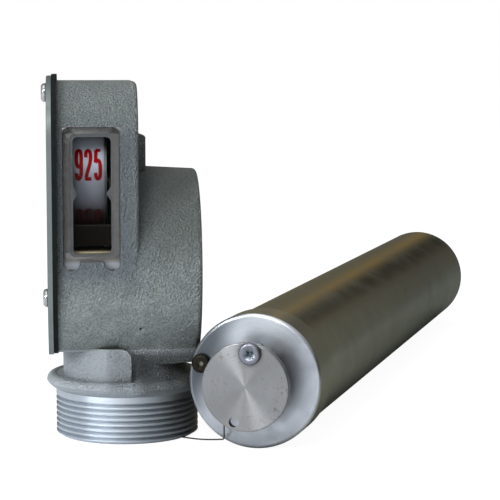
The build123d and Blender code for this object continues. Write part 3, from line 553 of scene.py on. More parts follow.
castSettings = {
    "skin": (0.4, 0.432, 0.424),
    "skinDark": (0.12, 0.138, 0.134),
    "footSkin": (0.52, 0.56, 0.6),
    "machined": (0.56, 0.605, 0.66),
    "machinedShaded": (0.29, 0.315, 0.34),
    "ledge": (0.27, 0.29, 0.31),
    "ledgeLow": (0.4, 0.375, 0.36),
    "legHighlight": (0.6, 0.63, 0.7),
    "stain": (0.22, 0.185, 0.16),
    # tint of the painted shade in corners, creases and the blowhole
    "grimeAndShade": (0.02, 0.02, 0.017),
    # how much of each tone shows
    "grainDark": 0.8,
    "patchDark": 0.25,
    "footPale": 0.8,
    "pitDark": 0.85,
    "stainShare": 0.25,
    # darker parts of the skin, each as low and high corner, softness, share and tint: the case's front,
    # darker and bluer, then painted shade on the boss's right part and on the neck under the boss
    "zones": [
        ((-40.0, -60.0, 66.0), (5.0, -20.0, 130.0), 12.0, 0.62, (0.13, 0.155, 0.185)),
        ((12.0, -60.0, 80.0), (60.0, 60.0, 130.0), 16.0, 0.5, (0.15, 0.165, 0.15)),
        ((4.0, -60.0, 20.0), (60.0, 20.0, 37.0), 4.0, 0.55, (0.06, 0.065, 0.055)),
    ],
    "patches": (14.0, 0.3, 0.75),
    "stains": (5.0, 0.5, 0.7),
    "corners": [(12.0, 0.5), (40.0, 0.2)],
    # heights under which the foot is pale and the stub is machined, and the span across which painted
    # shade darkens the stub's right side
    "footSpan": (39.2, 38.4),
    "stubSpan": (19.78, 19.54),
    "paintedDarkSpan": (-8.0, 22.0),
    # window recess and its rim, and the heights where its ledge turns paler and browner, then where the
    # floors of its legs get a painted highlight
    "recessLow": (-26.15, -41.15, 72.85),
    "recessHigh": (-3.35, -34.5, 129.75),
    "recessSoft": 0.1,
    "rimWidth": 0.3,
    "rimSoft": 0.5,
    "ledgeSpan": (79.5, 76.5),
    "legSpan": (76.6, 75.4),
    # metallic on skin and machined faces, and roughness
    "metal": (0.75, 0.9),
    "brushed": 0.8,
    "skinRough": 0.41,
    "sparkShine": 0.2,
    "machinedRough": 0.4,
    # relief: grain and its share over the height, broad waves, and extra lumps beside the foot
    "depth": 1.2,
    "grainSize": 0.8,
    "grainSpan": (52.0, 86.0),
    "grainShare": (0.5, 1.5),
    "footGrain": 0.85,
    "waves": (7.0, 1.0),
    "waveHeight": 1.1,
    "roughLow": (-8.0, -40.0, 22.5),
    "roughHigh": (16.0, -14.0, 38.5),
    "roughSoft": 4.0,
    "lumps": (1.1, 2.0),
    "lumpHeight": 0.9,
    "turningSize": 0.25,
    "turningHeight": 0.12,
    "skinWays": (0.7, 1.0),
    "wayShifts": [(0.0, 0.0, 0.0), (31.0, 7.0, 3.0), (5.0, 43.0, 11.0)],
    # one blowhole: x and height, its soft rim, and the plane that it lies in front of
    "pit": (4.6, 48.4),
    "pitSpan": (0.57, 0.27),
    "pitFront": -20.0,
    "pitDepth": 1.5,
    # what is left of the mould's parting line
    "seam": -1.0,
    "seamSpan": (0.45, 0.1),
    "seamLow": (-2.2, -50.0, 40.0),
    "seamHigh": (0.4, -20.0, 57.0),
    "seamSoft": 3.0,
    "seamBreaks": (2.5, 0.45, 0.6),
    "seamHeight": 0.3,
}


def pitMask(tree, x, y, z, s):
    across = calc(tree, "SUBTRACT", x, s["pit"][0])
    up = calc(tree, "SUBTRACT", z, s["pit"][1])
    far = vectorCalc(tree, "LENGTH", vectorOf(tree, across, up, 0.0))
    return times(tree, remap(tree, far, *s["pitSpan"]), calc(tree, "LESS_THAN", y, s["pitFront"]))


def seamRidge(tree, x, position, s):
    # The parting line, in broken pieces
    ridge = remap(tree, calc(tree, "ABSOLUTE", calc(tree, "SUBTRACT", x, s["seam"])), *s["seamSpan"])
    inside = boxed(tree, position, s["seamLow"], s["seamHigh"], s["seamSoft"])
    broken = times(tree, mottled(tree, position, *s["seamBreaks"]), s["seamHeight"])
    return times(tree, times(tree, ridge, inside), broken)


def castSkin(tree, position, grain, foot, hole, s):
    # Darker pits and uneven patches, a paler foot, the darker zones with their painted shade, and painted
    # shade in the blowhole
    pits = calc(tree, "SUBTRACT", 1.0, grain["Tone"])
    skin = tinted(tree, s["skin"], s["skinDark"], pits, s["grainDark"])
    skin = tinted(tree, skin, s["skinDark"], mottled(tree, position, *s["patches"]), s["patchDark"])
    skin = tinted(tree, skin, s["footSkin"], foot, s["footPale"])
    for low, high, soft, share, tint in s["zones"]:
        skin = tinted(tree, skin, tint, boxed(tree, position, low, high, soft), share)
    # Painted shade in the blowhole
    return tinted(tree, skin, s["grimeAndShade"], hole, s["pitDark"])


def recessSkin(tree, position, z, s):
    # Machined ledge round the window, brown where sealant crept along its rim, with a painted highlight
    # on the floors of its legs
    inset = Vector((s["rimWidth"], 0, s["rimWidth"]))
    low, high = Vector(s["recessLow"]) + inset, Vector(s["recessHigh"]) - inset
    rim = mixColor(tree, remap(tree, z, *s["ledgeSpan"]), s["ledge"], s["ledgeLow"])
    rim = tinted(tree, rim, s["stain"], mottled(tree, position, *s["stains"]), s["stainShare"])
    rim = mixColor(tree, remap(tree, z, *s["legSpan"]), rim, s["legHighlight"])
    return mixColor(tree, boxed(tree, position, low, high, s["rimSoft"]), s["stain"], rim)


def castRelief(tree, position, x, z, grain, foot, hole, smooth, s):
    # Grain on the skin, coarser beside the foot, and fine turning lines where it is machined
    coarse = boxed(tree, position, s["roughLow"], s["roughHigh"], s["roughSoft"])
    amount = remap(tree, z, *s["grainSpan"], *s["grainShare"], smooth=True)
    amount = calc(tree, "MAXIMUM", amount, plus(tree, times(tree, foot, s["footGrain"]), coarse))
    waves = times(tree, noise(tree, position, *s["waves"]), s["waveHeight"])
    lumps = times(tree, noise(tree, position, *s["lumps"]), times(tree, coarse, s["lumpHeight"]))
    relief = plus(tree, plus(tree, times(tree, grain["Height"], amount), waves), lumps)
    relief = calc(tree, "SUBTRACT", relief, times(tree, hole, s["pitDepth"]))
    relief = plus(tree, relief, seamRidge(tree, x, position, s))
    lines = ringed(tree, position, origin, alongZ, s["turningSize"])["Height"]
    return mixValue(tree, smooth, relief, times(tree, lines, s["turningHeight"]))


def castAluminium(s):
    material, tree, shader, position = startMaterial(
        "castAluminium", s["skin"], s["metal"][0], s["skinRough"], brushed=s["brushed"]
    )
    x, y, z = splitVector(tree, position)
    grain = useGroup(tree, sandCast, Position=position, Size=s["grainSize"])
    foot = remap(tree, z, *s["footSpan"])
    stub = remap(tree, z, *s["stubSpan"])
    recess = boxed(tree, position, s["recessLow"], s["recessHigh"], s["recessSoft"])
    smooth = calc(tree, "MAXIMUM", stub, recess)
    hole = pitMask(tree, x, y, z, s)

    skin = castSkin(tree, position, grain, foot, hole, s)
    color = mixColor(tree, recess, skin, recessSkin(tree, position, z, s))
    # Painted shade in corners and creases
    for reach, share in s["corners"]:
        color = shade(tree, color, reach, share, s["grimeAndShade"])
    # Painted shade on the stub's right side
    machined = mixColor(tree, remap(tree, x, *s["paintedDarkSpan"]), s["machined"], s["machinedShaded"])
    color = mixColor(tree, stub, color, machined)
    rough = calc(tree, "SUBTRACT", s["skinRough"], times(tree, grain["Spark"], s["sparkShine"]))
    for mask in (stub, recess):
        rough = mixValue(tree, mask, rough, s["machinedRough"])
    paint(tree, shader, color, rough)
    join(tree, mixValue(tree, smooth, *s["metal"]), shader.inputs["Metallic"])
    setBump(tree, shader, castRelief(tree, position, x, z, grain, foot, hole, smooth, s), s["depth"])

    # Grooves round the stub, no common direction in the cast skin
    shifted = [vectorCalc(tree, "ADD", position, shift) for shift in s["wayShifts"]]
    ways = [calc(tree, "SUBTRACT", noise(tree, place, *s["skinWays"]), 0.5) for place in shifted]
    stubWay = acrossGrooves(tree, position, origin, alongZ)
    join(tree, mixAny(tree, "VECTOR", stub, vectorOf(tree, *ways), stubWay), shader.inputs["Tangent"])
    return material


wear(castAluminium(castSettings), "gauge_housing")
print("head dressed")


# Cover side: zinc-coated plate, black rubber gasket, polished screws

zincSettings = {
    # colour and roughness of each finish
    "coverSteel": ((0.21, 0.235, 0.235), 0.4),
    "frameSteel": ((0.36, 0.36, 0.35), 0.34),
    "zincScrew": ((0.42, 0.45, 0.47), 0.28),
    "metallic": 0.9,
    "darker": 0.72,
    "patches": (9.0, 0.35, 0.7),
    "patchShare": 0.5,
    "specks": (1.2, 0.6, 0.72),
    "speckShare": 0.35,
    "duller": 0.14,
    "relief": (0.6, 3.0, 0.03),
}

rubberSettings = {
    "black": (0.006, 0.008, 0.007),
    "dust": (0.018, 0.022, 0.02),
    "roughness": 0.7,
    "specular": 0.1,
    "patches": (4.0, 0.5, 0.8),
    "dustShare": 0.4,
    "relief": (0.5, 2.0, 0.04),
}

polishSettings = {
    "bright": (0.5, 0.5, 0.49),
    "mark": (0.3, 0.3, 0.29),
    "roughness": (0.13, 0.3),
    "marks": (1.5, 0.5, 0.75),
    "markShare": 0.4,
    "corners": (3.0, 0.8, (0.02, 0.02, 0.02)),
    "relief": (0.8, 2.0, 0.01),
}


def zincPlate(name, s):
    color, roughness = s[name]
    material, tree, shader, position = startMaterial(name, color, s["metallic"], roughness)
    patches = mottled(tree, position, *s["patches"])
    dark = darker(color, s["darker"])
    tone = tinted(tree, color, dark, patches, s["patchShare"])
    tone = tinted(tree, tone, dark, mottled(tree, position, *s["specks"]), s["speckShare"])
    paint(tree, shader, tone, remap(tree, patches, 0, 1, roughness, roughness + s["duller"]))
    roughen(tree, shader, position, *s["relief"])
    return material


def rubberSheet(s):
    material, tree, shader, position = startMaterial(
        "rubberSheet", s["black"], 0.0, s["roughness"], s["specular"]
    )
    dusty = mottled(tree, position, *s["patches"])
    paint(tree, shader, tinted(tree, s["black"], s["dust"], dusty, s["dustShare"]))
    roughen(tree, shader, position, *s["relief"])
    return material


def polishedSteel(s):
    material, tree, shader, position = startMaterial("polishedSteel", s["bright"], 1.0, s["roughness"][0])
    marks = mottled(tree, position, *s["marks"])
    tone = tinted(tree, s["bright"], s["mark"], marks, s["markShare"])
    paint(tree, shader, shade(tree, tone, *s["corners"]), remap(tree, marks, 0, 1, *s["roughness"]))
    roughen(tree, shader, position, *s["relief"])
    return material


wear(zincPlate("coverSteel", zincSettings), "cover_plate")
wear(rubberSheet(rubberSettings), "cover_gasket")
print("cover dressed")


# Window: clear pane in grey sealant, and the tape and dark guard behind it

glassSettings = {
    "color": (0.008, 0.009, 0.009),
    "roughness": 0.05,
    "specular": 0.3,
    "smears": (8.0, 0.45, 0.8),
    "alpha": (0.03, 0.07),
}

sealantSettings = {
    "pale": (0.2, 0.2, 0.2),
    "brown": (0.12, 0.108, 0.098),
    "metallic": 0.2,
    "roughness": 0.4,
    "streaks": (2.0, 3.0),
    # painted light on the left side of the recess and painted shade on its right
    "sideSpan": (-24.0, -6.0),
    "sideLightShare": (1.35, 0.72),
    "relief": (1.2, 2.0, 0.1),
}

tapeSettings = {
    "color": (0.56, 0.59, 0.69),
    "worn": (0.37, 0.385, 0.44),
    "roughness": 0.42,
    "specular": 0.12,
    "patches": (6.0, 0.45, 0.8),
    "wornShare": 0.3,
    "below": (0.004, 0.004, 0.005),
    "corners": (7.0, 0.8, (0.01, 0.01, 0.011), 1.3),
    "relief": (1.5, 2.0, 0.008),
}

guardSettings = {
    "brown": (0.007, 0.005, 0.003),
    "black": (0.003, 0.002, 0.0015),
    "edge": (0.025, 0.022, 0.018),
    "edgeLow": (-40, -40, 89.95),
    "edgeHigh": (0, 0, 91),
    "edgeSoft": 0.15,
    "roughness": 0.7,
    "specular": 0.06,
    "grimeAndShade": (1.5, 3.0),
    "depth": 0.05,
}

windowLight = (0.38, -0.42)  # upward part of the normal, from full light to none


def underside(tree, color, tint):
    # Painted shade: what turns away from the window's light, downwards, goes dark
    upward = splitVector(tree, surfaceWay(tree))[2]
    return mixColor(tree, remap(tree, upward, *windowLight), color, tint)


def clearGlass(s):
    material, tree, shader, position = startMaterial(
        "clearGlass", s["color"], 0.0, s["roughness"], s["specular"]
    )
    smears = mottled(tree, position, *s["smears"])
    join(tree, remap(tree, smears, 0, 1, *s["alpha"]), shader.inputs["Alpha"])
    return material


def sealantBead(s):
    material, tree, shader, position = startMaterial(
        "sealantBead", s["pale"], s["metallic"], s["roughness"]
    )
    tone = mixColor(tree, noise(tree, position, *s["streaks"]), s["pale"], s["brown"])
    # Painted light on the recess's left side, painted shade on its right
    litSide = remap(tree, splitVector(tree, position)[0], *s["sideSpan"], *s["sideLightShare"])
    paint(tree, shader, timesColor(tree, tone, litSide))
    roughen(tree, shader, position, *s["relief"])
    return material


def wornLacquer(name, s):
    # The tape's lacquer, and the ink of its figures, with painted shade on what faces down and in corners
    material, tree, shader, position = startMaterial(name, s["color"], 0.0, s["roughness"], s["specular"])
    tone = tinted(tree, s["color"], s["worn"], mottled(tree, position, *s["patches"]), s["wornShare"])
    tone = underside(tree, tone, s["below"])
    paint(tree, shader, shade(tree, tone, *s["corners"]))
    roughen(tree, shader, position, *s["relief"])
    return material


# Blackened guard, painted near-black brown so that it also stands in for the shade inside the window
# below the tape; its noise mottles it brown and black
def darkGuard(s):
    material, tree, shader, position = startMaterial(
        "darkGuard", s["brown"], 0.0, s["roughness"], s["specular"]
    )
    edge = boxed(tree, position, s["edgeLow"], s["edgeHigh"], s["edgeSoft"])
    grimeAndShade = noise(tree, position, *s["grimeAndShade"])
    tone = mixColor(tree, grimeAndShade, s["brown"], s["black"])
    # A lighter band along the top edge: a painted highlight
    paint(tree, shader, mixColor(tree, edge, tone, s["edge"]))
    setBump(tree, shader, grimeAndShade, s["depth"])
    return material


wear(clearGlass(glassSettings), "window_pane")
wear(sealantBead(sealantSettings), "pane_sealant")
wear(wornLacquer("tapeLacquer", tapeSettings), "scale_tape", "tape_span", "spool_tape")
wear(darkGuard(guardSettings), "tape_guard")
print("window dressed")


# Clockwork: turned aluminium, brass and steel, with plated frame plates

reelAxis = (0.0, -8.0, 106.1)
drumAxis = (0.0, 0.0, 71.0)
spoolAxis = (0.0, 23.5, 75.5)

turnedSettings = {
    # colour, roughness, centre, axis, size of the rings and stain of each finish
    # the reel's aluminium is painted darker than the drum's and the spool's, as shade inside the window
    "shadedReelAluminium": ((0.26, 0.265, 0.27), 0.45, reelAxis, alongX, 0.3, (0.4, 0.38, 0.35)),
    "drumAluminium": ((0.60, 0.61, 0.62), 0.35, drumAxis, alongX, 0.3, (0.4, 0.38, 0.35)),
    "spoolAluminium": ((0.60, 0.61, 0.62), 0.35, spoolAxis, alongX, 0.3, (0.4, 0.38, 0.35)),
    "brassTurned": ((0.36, 0.31, 0.2), 0.3, drumAxis, alongX, 0.3, (0.35, 0.24, 0.12)),
    "guideBrass": ((0.72, 0.55, 0.28), 0.3, origin, alongZ, 0.3, (0.35, 0.24, 0.12)),
    "shaftSteel": ((0.5, 0.5, 0.49), 0.25, drumAxis, alongX, 0.25, (0.3, 0.28, 0.26)),
    "marks": (3.5, 0.5, 0.8),
    "markShare": 0.45,
    # what the rings do to the colour and the roughness
    "ringSpan": (0.3, 0.7),
    "ringTone": (0.84, 1.1),
    "ringRough": (0.06, -0.04),
    "corners": (8.0, 0.6, (0.02, 0.02, 0.018)),
    "below": (0.01, 0.01, 0.01),
    "depth": 0.01,
}


def turnedMetal(name, s, sunk=False):
    color, roughness, centre, axis, size, stain = s[name]
    material, tree, shader, position = startMaterial(name, color, 1.0, roughness)
    rings = ringed(tree, position, centre, axis, size)["Height"]
    tone = timesColor(tree, color, remap(tree, rings, *s["ringSpan"], *s["ringTone"]))
    tone = tinted(tree, tone, stain, mottled(tree, position, *s["marks"]), s["markShare"])
    # Painted shade in corners, and on what faces down where the part is sunk behind the window
    tone = shade(tree, tone, *s["corners"])
    if sunk:
        tone = underside(tree, tone, s["below"])
    rough = (roughness + more for more in s["ringRough"])
    paint(tree, shader, tone, remap(tree, rings, *s["ringSpan"], *rough))
    setBump(tree, shader, rings, s["depth"])
    return material


wear(turnedMetal("shadedReelAluminium", turnedSettings, sunk=True), "scale_reel")
wear(turnedMetal("drumAluminium", turnedSettings), "wire_drum")
wear(turnedMetal("spoolAluminium", turnedSettings), "tape_spool")
brassNodes = ("frame_bushes", "end_bush", "drum_gear", "reel_gear", "frame_pillars")
wear(turnedMetal("brassTurned", turnedSettings), *brassNodes)
wear(turnedMetal("guideBrass", turnedSettings), "wire_guide")
wear(turnedMetal("shaftSteel", turnedSettings), "drum_shaft", "reel_shaft", "spool_shaft")
plateNodes = ("outer_frame_plate", "inner_frame_plate", "spring_barrel", "barrel_lid")
wear(zincPlate("frameSteel", zincSettings), *plateNodes)
wear(zincPlate("zincScrew", zincSettings), "frame_screws", "barrel_screws")
print("clockwork dressed")


# Wire and spring

drawnSettings = {
    # colour and roughness of each finish
    "wireSteel": ((0.09, 0.095, 0.085), 0.5),
    "springSteel": ((0.16, 0.19, 0.27), 0.3),
    "darker": 0.7,
    "streaks": (0.8, 3.0),
    "relief": (0.15, 1.0, 0.01),
}


def drawnSteel(name, s):
    color, roughness = s[name]
    material, tree, shader, position = startMaterial(name, color, 1.0, roughness)
    streaks = noise(tree, position, *s["streaks"])
    paint(tree, shader, mixColor(tree, streaks, darker(color, s["darker"]), color))
    roughen(tree, shader, position, *s["relief"])
    return material


wireSteel = drawnSteel("wireSteel", drawnSettings)
wear(wireSteel, "inner_wire", "drum_winding", "spool_winding", "suspension_wire")
freeWire.data.materials.append(wireSteel)
wear(drawnSteel("springSteel", drawnSettings), "mainspring")
print("wire and spring dressed")


# Figures printed on the tape: red, one number for every 25 mm, counting downwards

figureSettings = {
    "color": (0.36, 0.0, 0.002),
    "worn": (0.28, 0.003, 0.005),
    "below": (0.02, 0.0, 0.0),
    "roughness": 0.5,
    "specular": 0.08,
    "patches": (2.0, 0.45, 0.8),
    "wornShare": 0.3,
    "corners": (7.0, 0.8, (0.006, 0.0, 0.0), 1.3),
    "relief": (0.5, 2.0, 0.01),
    # millimetres, where radius is the tape's on the reel and middle the centre of a number
    "height": 13.4,
    "width": 3.35,
    "stroke": 1.42,
    "gap": 0.42,
    "radius": 25.0,
    "lift": 0.03,
    "layerLift": 0.004,
    "middle": -15.75,
    "firstNumber": 850,
    "lastNumber": 975,
    "step": 25,
    # this number stands this far up the reel
    "shownNumber": 925,
    "shownArc": 8.8,
}

# Centre lines of the digits, in shares of their width and height: a bar is straight,
# an open line and a loop are smooth
digitLines = {
    "0": [
        ("loop", [
            (0.5, 1), (0.86, 0.93), (1, 0.72), (1, 0.5), (1, 0.28), (0.86, 0.07),
            (0.5, 0), (0.14, 0.07), (0, 0.28), (0, 0.5), (0, 0.72), (0.14, 0.93),
        ]),
    ],
    "2": [
        ("open", [
            (0.0, 0.74), (0.04, 0.9), (0.25, 0.985), (0.5, 1), (0.8, 0.96), (0.97, 0.82),
            (0.96, 0.66), (0.78, 0.49), (0.45, 0.31), (0.16, 0.14), (0.06, 0.0),
        ]),
        ("bar", [(-0.16, 0.0), (1.1, 0.0)]),
    ],
    "5": [
        ("bar", [(0.06, 1.0), (1.08, 1.0)]),
        ("open", [(0.16, 1.0), (0.12, 0.82), (0.08, 0.7), (0.03, 0.56)]),
        ("open", [
            (0.03, 0.54), (0.22, 0.615), (0.5, 0.64), (0.82, 0.59), (1, 0.43),
            (1, 0.24), (0.88, 0.06), (0.5, 0), (0.16, 0.045), (0.0, 0.2),
        ]),
    ],
    "7": [
        ("bar", [(-0.1, 1.0), (1.1, 1.0)]),
        ("open", [(1.0, 0.97), (0.72, 0.72), (0.45, 0.4), (0.32, -0.04)]),
    ],
    "8": [
        ("loop", [
            (0.5, 1), (0.82, 0.95), (0.93, 0.78), (0.84, 0.6),
            (0.5, 0.53), (0.16, 0.6), (0.07, 0.78), (0.18, 0.95),
        ]),
        ("loop", [
            (0.5, 0.53), (0.87, 0.46), (1, 0.27), (0.88, 0.07),
            (0.5, 0), (0.12, 0.07), (0, 0.27), (0.13, 0.46),
        ]),
    ],
    "9": [
        ("loop", [
            (0.5, 1), (0.86, 0.95), (1, 0.78), (1, 0.62), (0.86, 0.46),
            (0.5, 0.40), (0.14, 0.46), (0, 0.62), (0, 0.78), (0.14, 0.95),
        ]),
        ("open", [(1, 0.7), (1, 0.5), (0.98, 0.3), (0.88, 0.1), (0.52, 0), (0.16, 0.04), (0.02, 0.19)]),
    ],
}


def barLine(start, end, steps=8):
    return [(start[0] + k / steps * (end[0] - start[0]), start[1]) for k in range(steps + 1)]


def nearPoint(points, index, closed):
    # A loop goes round, an open line stops at its ends
    last = len(points) - 1
    return points[index % len(points)] if closed else points[min(max(index, 0), last)]


def between(a, b, c, d, t):
    # From b to c, bent so that it comes smoothly from a and goes on to d
    squared, cubed = (2 * a - 5 * b + 4 * c - d) * t * t, (3 * b - a - 3 * c + d) * t ** 3
    return 0.5 * (2 * b + (c - a) * t + squared + cubed)


def smoothLine(points, closed, steps=8):
    # A curve through the points, rounded at each of them
    line = []
    for i in range(len(points) if closed else len(points) - 1):
        four = [nearPoint(points, i + k, closed) for k in (-1, 0, 1, 2)]
        for k in range(steps):
            line.append(tuple(between(*values, k / steps) for values in zip(*four)))
    if not closed:
        line.append(points[-1])
    return line


def strokeEdges(line, closed, stroke):
    # Left and right edge of a stroke of even width
    half = stroke / 2
    edges = []
    for i, (x, y) in enumerate(line):
        before, after = (nearPoint(line, i + k, closed) for k in (-1, 1))
        way = Vector((after[0] - before[0], after[1] - before[1])).normalized()
        edges.append(((x - way.y * half, y + way.x * half), (x + way.y * half, y - way.x * half)))
    return edges


def wrapOnReel(x, arc, radius, s):
    turn = arc / s["radius"]
    return (
        x / 1000,
        (reelAxis[1] - radius * math.cos(turn)) / 1000,
        (reelAxis[2] + radius * math.sin(turn)) / 1000,
    )


def addDigit(mesh, digit, left, arc, s):
    inner = s["width"] - s["stroke"]
    tall = s["height"] - s["stroke"]
    for layer, (kind, shares) in enumerate(digitLines[digit]):
        closed = kind == "loop"
        points = [(left + x * inner, arc - tall / 2 + y * tall) for x, y in shares]
        line = barLine(*points) if kind == "bar" else smoothLine(points, closed)
        radius = s["radius"] + s["lift"] + s["layerLift"] * layer
        rows = [
            [mesh.verts.new(wrapOnReel(x, y, radius, s)) for x, y in edges]
            for edges in strokeEdges(line, closed, s["stroke"])
        ]
        for i in range(len(rows) if closed else len(rows) - 1):
            a, b = rows[i], rows[(i + 1) % len(rows)]
            mesh.faces.new((a[0], b[0], b[1], a[1]))


def addFigures(s):
    mesh = bmesh.new()
    for number in range(s["firstNumber"], s["lastNumber"] + 1, s["step"]):
        arc = s["shownArc"] - (number - s["shownNumber"])
        for index, digit in enumerate(str(number)):
            left = s["middle"] + (index - 1) * (s["width"] + s["gap"]) - (s["width"] - s["stroke"]) / 2
            addDigit(mesh, digit, left, arc, s)
    data = bpy.data.meshes.new("tapeFigures")
    mesh.normal_update()
    mesh.to_mesh(data)
    mesh.free()
    data.materials.append(wornLacquer("figureInk", s))
    figures = addObject("tapeFigures", data)
    thick = figures.modifiers.new("inkLayer", "SOLIDIFY")
    thick.thickness = s["lift"] / 1000
    thick.offset = 0
    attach(figures, "scale_reel")


addFigures(figureSettings)
print("figures printed")


# Float: turned stainless flange, disc, tube and cap

floatSettings = {
    "face": (49.8, -41.5, 27.5),
    "axis": (0.353474, 0.935441, -0.002604),
    "ringSpan": (0.3, 0.7),
}

flangeSettings = {
    "color": (0.6, 0.625, 0.675),
    # painted reflection of the head, darker towards the upper left: direction from the face's centre, and
    # where it starts and ends
    "darkReflection": (0.12, 0.13, 0.145),
    "darkReflectionWay": (-0.85, 0.32, 0.42),
    "paintedDarkSpan": (9.0, 23.0),
    "blotches": (6.0, 0.35, 0.7),
    "blotchDark": 0.68,
    "blotchShare": 0.35,
    # painted highlight along the edge, by its radius, and paler nicks in it
    "edge": (0.7, 0.72, 0.76),
    "edgeSpan": (26.0, 27.0),
    "edgeShare": 0.5,
    "nick": (0.75, 0.76, 0.78),
    "nicks": (1.0, 0.55, 0.65),
    "nickShare": 0.6,
    # the flange's side starts here, behind the face
    "sideSpan": (0.9, 1.4),
    "sideRough": 0.2,
    "roughness": (0.3, 0.4),
    "brushed": 0.8,
    "ringSize": 0.4,
    "ringTone": (0.82, 1.1),
    "corners": (12.0, 0.65, (0.02, 0.022, 0.024)),
    "depth": 0.008,
}

discSettings = {
    "color": (0.29, 0.29, 0.295),
    "stain": (0.12, 0.10, 0.07),
    "spots": (1.3, 0.52, 0.68),
    "clouds": (9.0, 0.5, 0.62),
    "spotShare": 0.8,
    "roughness": (0.32, 0.47),
    "brushed": 0.85,
    "ringSize": 0.3,
    "ringTone": (0.9, 1.07),
    "corners": (6.0, 0.7, (0.02, 0.022, 0.024)),
    "depth": 0.008,
}

tubeSettings = {
    "color": (0.62, 0.6, 0.485),
    "far": (0.33, 0.33, 0.275),
    "farSpan": (10.0, 260.0),
    "duller": 0.82,
    "clouds": (16.0, 0.35, 0.7),
    "roughness": (0.17, 0.25),
    "brushed": 0.4,
    "ringSize": 1.2,
    "depth": 0.0004,
}


def startFloatSteel(name, s, place):
    # Turned about the float's axis
    material, tree, shader, position = startMaterial(
        name, s["color"], 1.0, s["roughness"][0], brushed=s["brushed"]
    )
    rings = ringed(tree, position, place["face"], place["axis"], s["ringSize"])
    setBump(tree, shader, rings["Height"], s["depth"])
    join(tree, acrossGrooves(tree, position, place["face"], place["axis"]), shader.inputs["Tangent"])
    return material, tree, shader, position, rings


def flangeSteel(s, place):
    # Grey-blue turned face with a painted reflection of the head darker at its upper left, a painted
    # highlight along its edge with paler nicks, painted shade in corners, and a side as smooth as the
    # tube
    material, tree, shader, position, rings = startFloatSteel("flangeSteel", s, place)
    side = remap(tree, rings["Along"], *s["sideSpan"])
    blotches = mottled(tree, position, *s["blotches"])
    face = tinted(tree, s["color"], darker(s["color"], s["blotchDark"]), blotches, s["blotchShare"])
    # Painted reflection of the head: darker towards the upper left
    arm = vectorCalc(tree, "SUBTRACT", position, place["face"])
    aside = vectorCalc(tree, "DOT_PRODUCT", arm, s["darkReflectionWay"])
    face = mixColor(tree, remap(tree, aside, *s["paintedDarkSpan"], smooth=True), face, s["darkReflection"])
    # Painted highlight along the edge, with paler nicks in it
    edge = times(tree, remap(tree, rings["Radius"], *s["edgeSpan"]), calc(tree, "SUBTRACT", 1.0, side))
    face = tinted(tree, face, s["edge"], edge, s["edgeShare"])
    nicked = times(tree, edge, mottled(tree, position, *s["nicks"]))
    face = tinted(tree, face, s["nick"], nicked, s["nickShare"])
    lines = remap(tree, rings["Height"], *place["ringSpan"], *s["ringTone"])
    tone = timesColor(tree, mixColor(tree, side, face, tubeSettings["color"]), lines)
    rough = mixValue(tree, side, remap(tree, blotches, 0, 1, *s["roughness"]), s["sideRough"])
    paint(tree, shader, shade(tree, tone, *s["corners"]), rough)
    return material


def discSteel(s, place):
    # Fine turned rings and brownish spots
    material, tree, shader, position, rings = startFloatSteel("discSteel", s, place)
    spotted = times(tree, mottled(tree, position, *s["spots"]), mottled(tree, position, *s["clouds"]))
    lines = remap(tree, rings["Height"], *place["ringSpan"], *s["ringTone"])
    tone = tinted(tree, timesColor(tree, s["color"], lines), s["stain"], spotted, s["spotShare"])
    paint(tree, shader, shade(tree, tone, *s["corners"]), remap(tree, spotted, 0, 1, *s["roughness"]))
    return material


def tubeSteel(s, place):
    # Drawn and polished tube, smooth with faint dull clouds, darker far from the flange
    material, tree, shader, position, rings = startFloatSteel("tubeSteel", s, place)
    clouds = mottled(tree, position, *s["clouds"])
    near = mixColor(tree, clouds, s["color"], darker(s["color"], s["duller"]))
    tone = mixColor(tree, remap(tree, rings["Along"], *s["farSpan"]), near, s["far"])
    paint(tree, shader, tone, remap(tree, clouds, 0, 1, *s["roughness"]))
    return material


wear(flangeSteel(flangeSettings, floatSettings), "float_flange")
wear(discSteel(discSettings, floatSettings), "float_spool")
wear(tubeSteel(tubeSettings, floatSettings), "float_tube", "float_end_cap")
print("float dressed")


# Screws that show their heads get their drive recess cut in; lengths in millimetres

screwSettings = {
    "cross": {"reach": 2.1, "half": 0.45, "depth": 1.7, "narrow": 0.45},
    "star": {"reach": 1.35, "dip": 0.32, "lobes": 6, "depth": 1.5, "narrow": 0.85},
    "clear": 0.8,
    "crown": 1.5,
    "sharpAngle": 32,
}

headSettings = {
    # colour, colour in the recess, roughness, and radii between which the recess colour ends; the plug's
    # paler recess colour is a painted reflection in its socket, the lock screw's is lighter and bluer
    # than its head
    "lockScrewZinc": ((0.22, 0.225, 0.26), (0.3, 0.46, 0.5), 0.34, (2.4, 2.2)),
    "plugBlack": ((0.02, 0.017, 0.013), (0.5, 0.47, 0.38), 0.4, (1.6, 1.4)),
    "metallic": 0.95,
    "ringSize": 0.25,
    "sunkSpan": (0.15, 0.4),
    "marks": (0.9, 0.45, 0.65),
    "markDark": 0.6,
    "markShare": 0.4,
    "duller": 0.12,
    "corners": (3.0, 0.7, (0.01, 0.01, 0.01)),
    "depth": 0.01,
}


def turnedBy(x, y, degrees):
    angle = math.radians(degrees)
    return (x * math.cos(angle) - y * math.sin(angle), x * math.sin(angle) + y * math.cos(angle))


def crossOutline(s):
    long, half = s["reach"], s["half"]
    corners = [(long, -half), (long, half), (half, half)]
    return [turnedBy(x, y, 90 * k) for k in range(4) for x, y in corners]


def starOutline(s):
    steps = 6 * s["lobes"]
    points = []
    for k in range(steps):
        angle = 360 * k / steps
        wave = 0.5 - 0.5 * math.cos(math.radians(angle * s["lobes"]))
        points.append(turnedBy(s["reach"] - s["dip"] * wave, 0, angle))
    return points


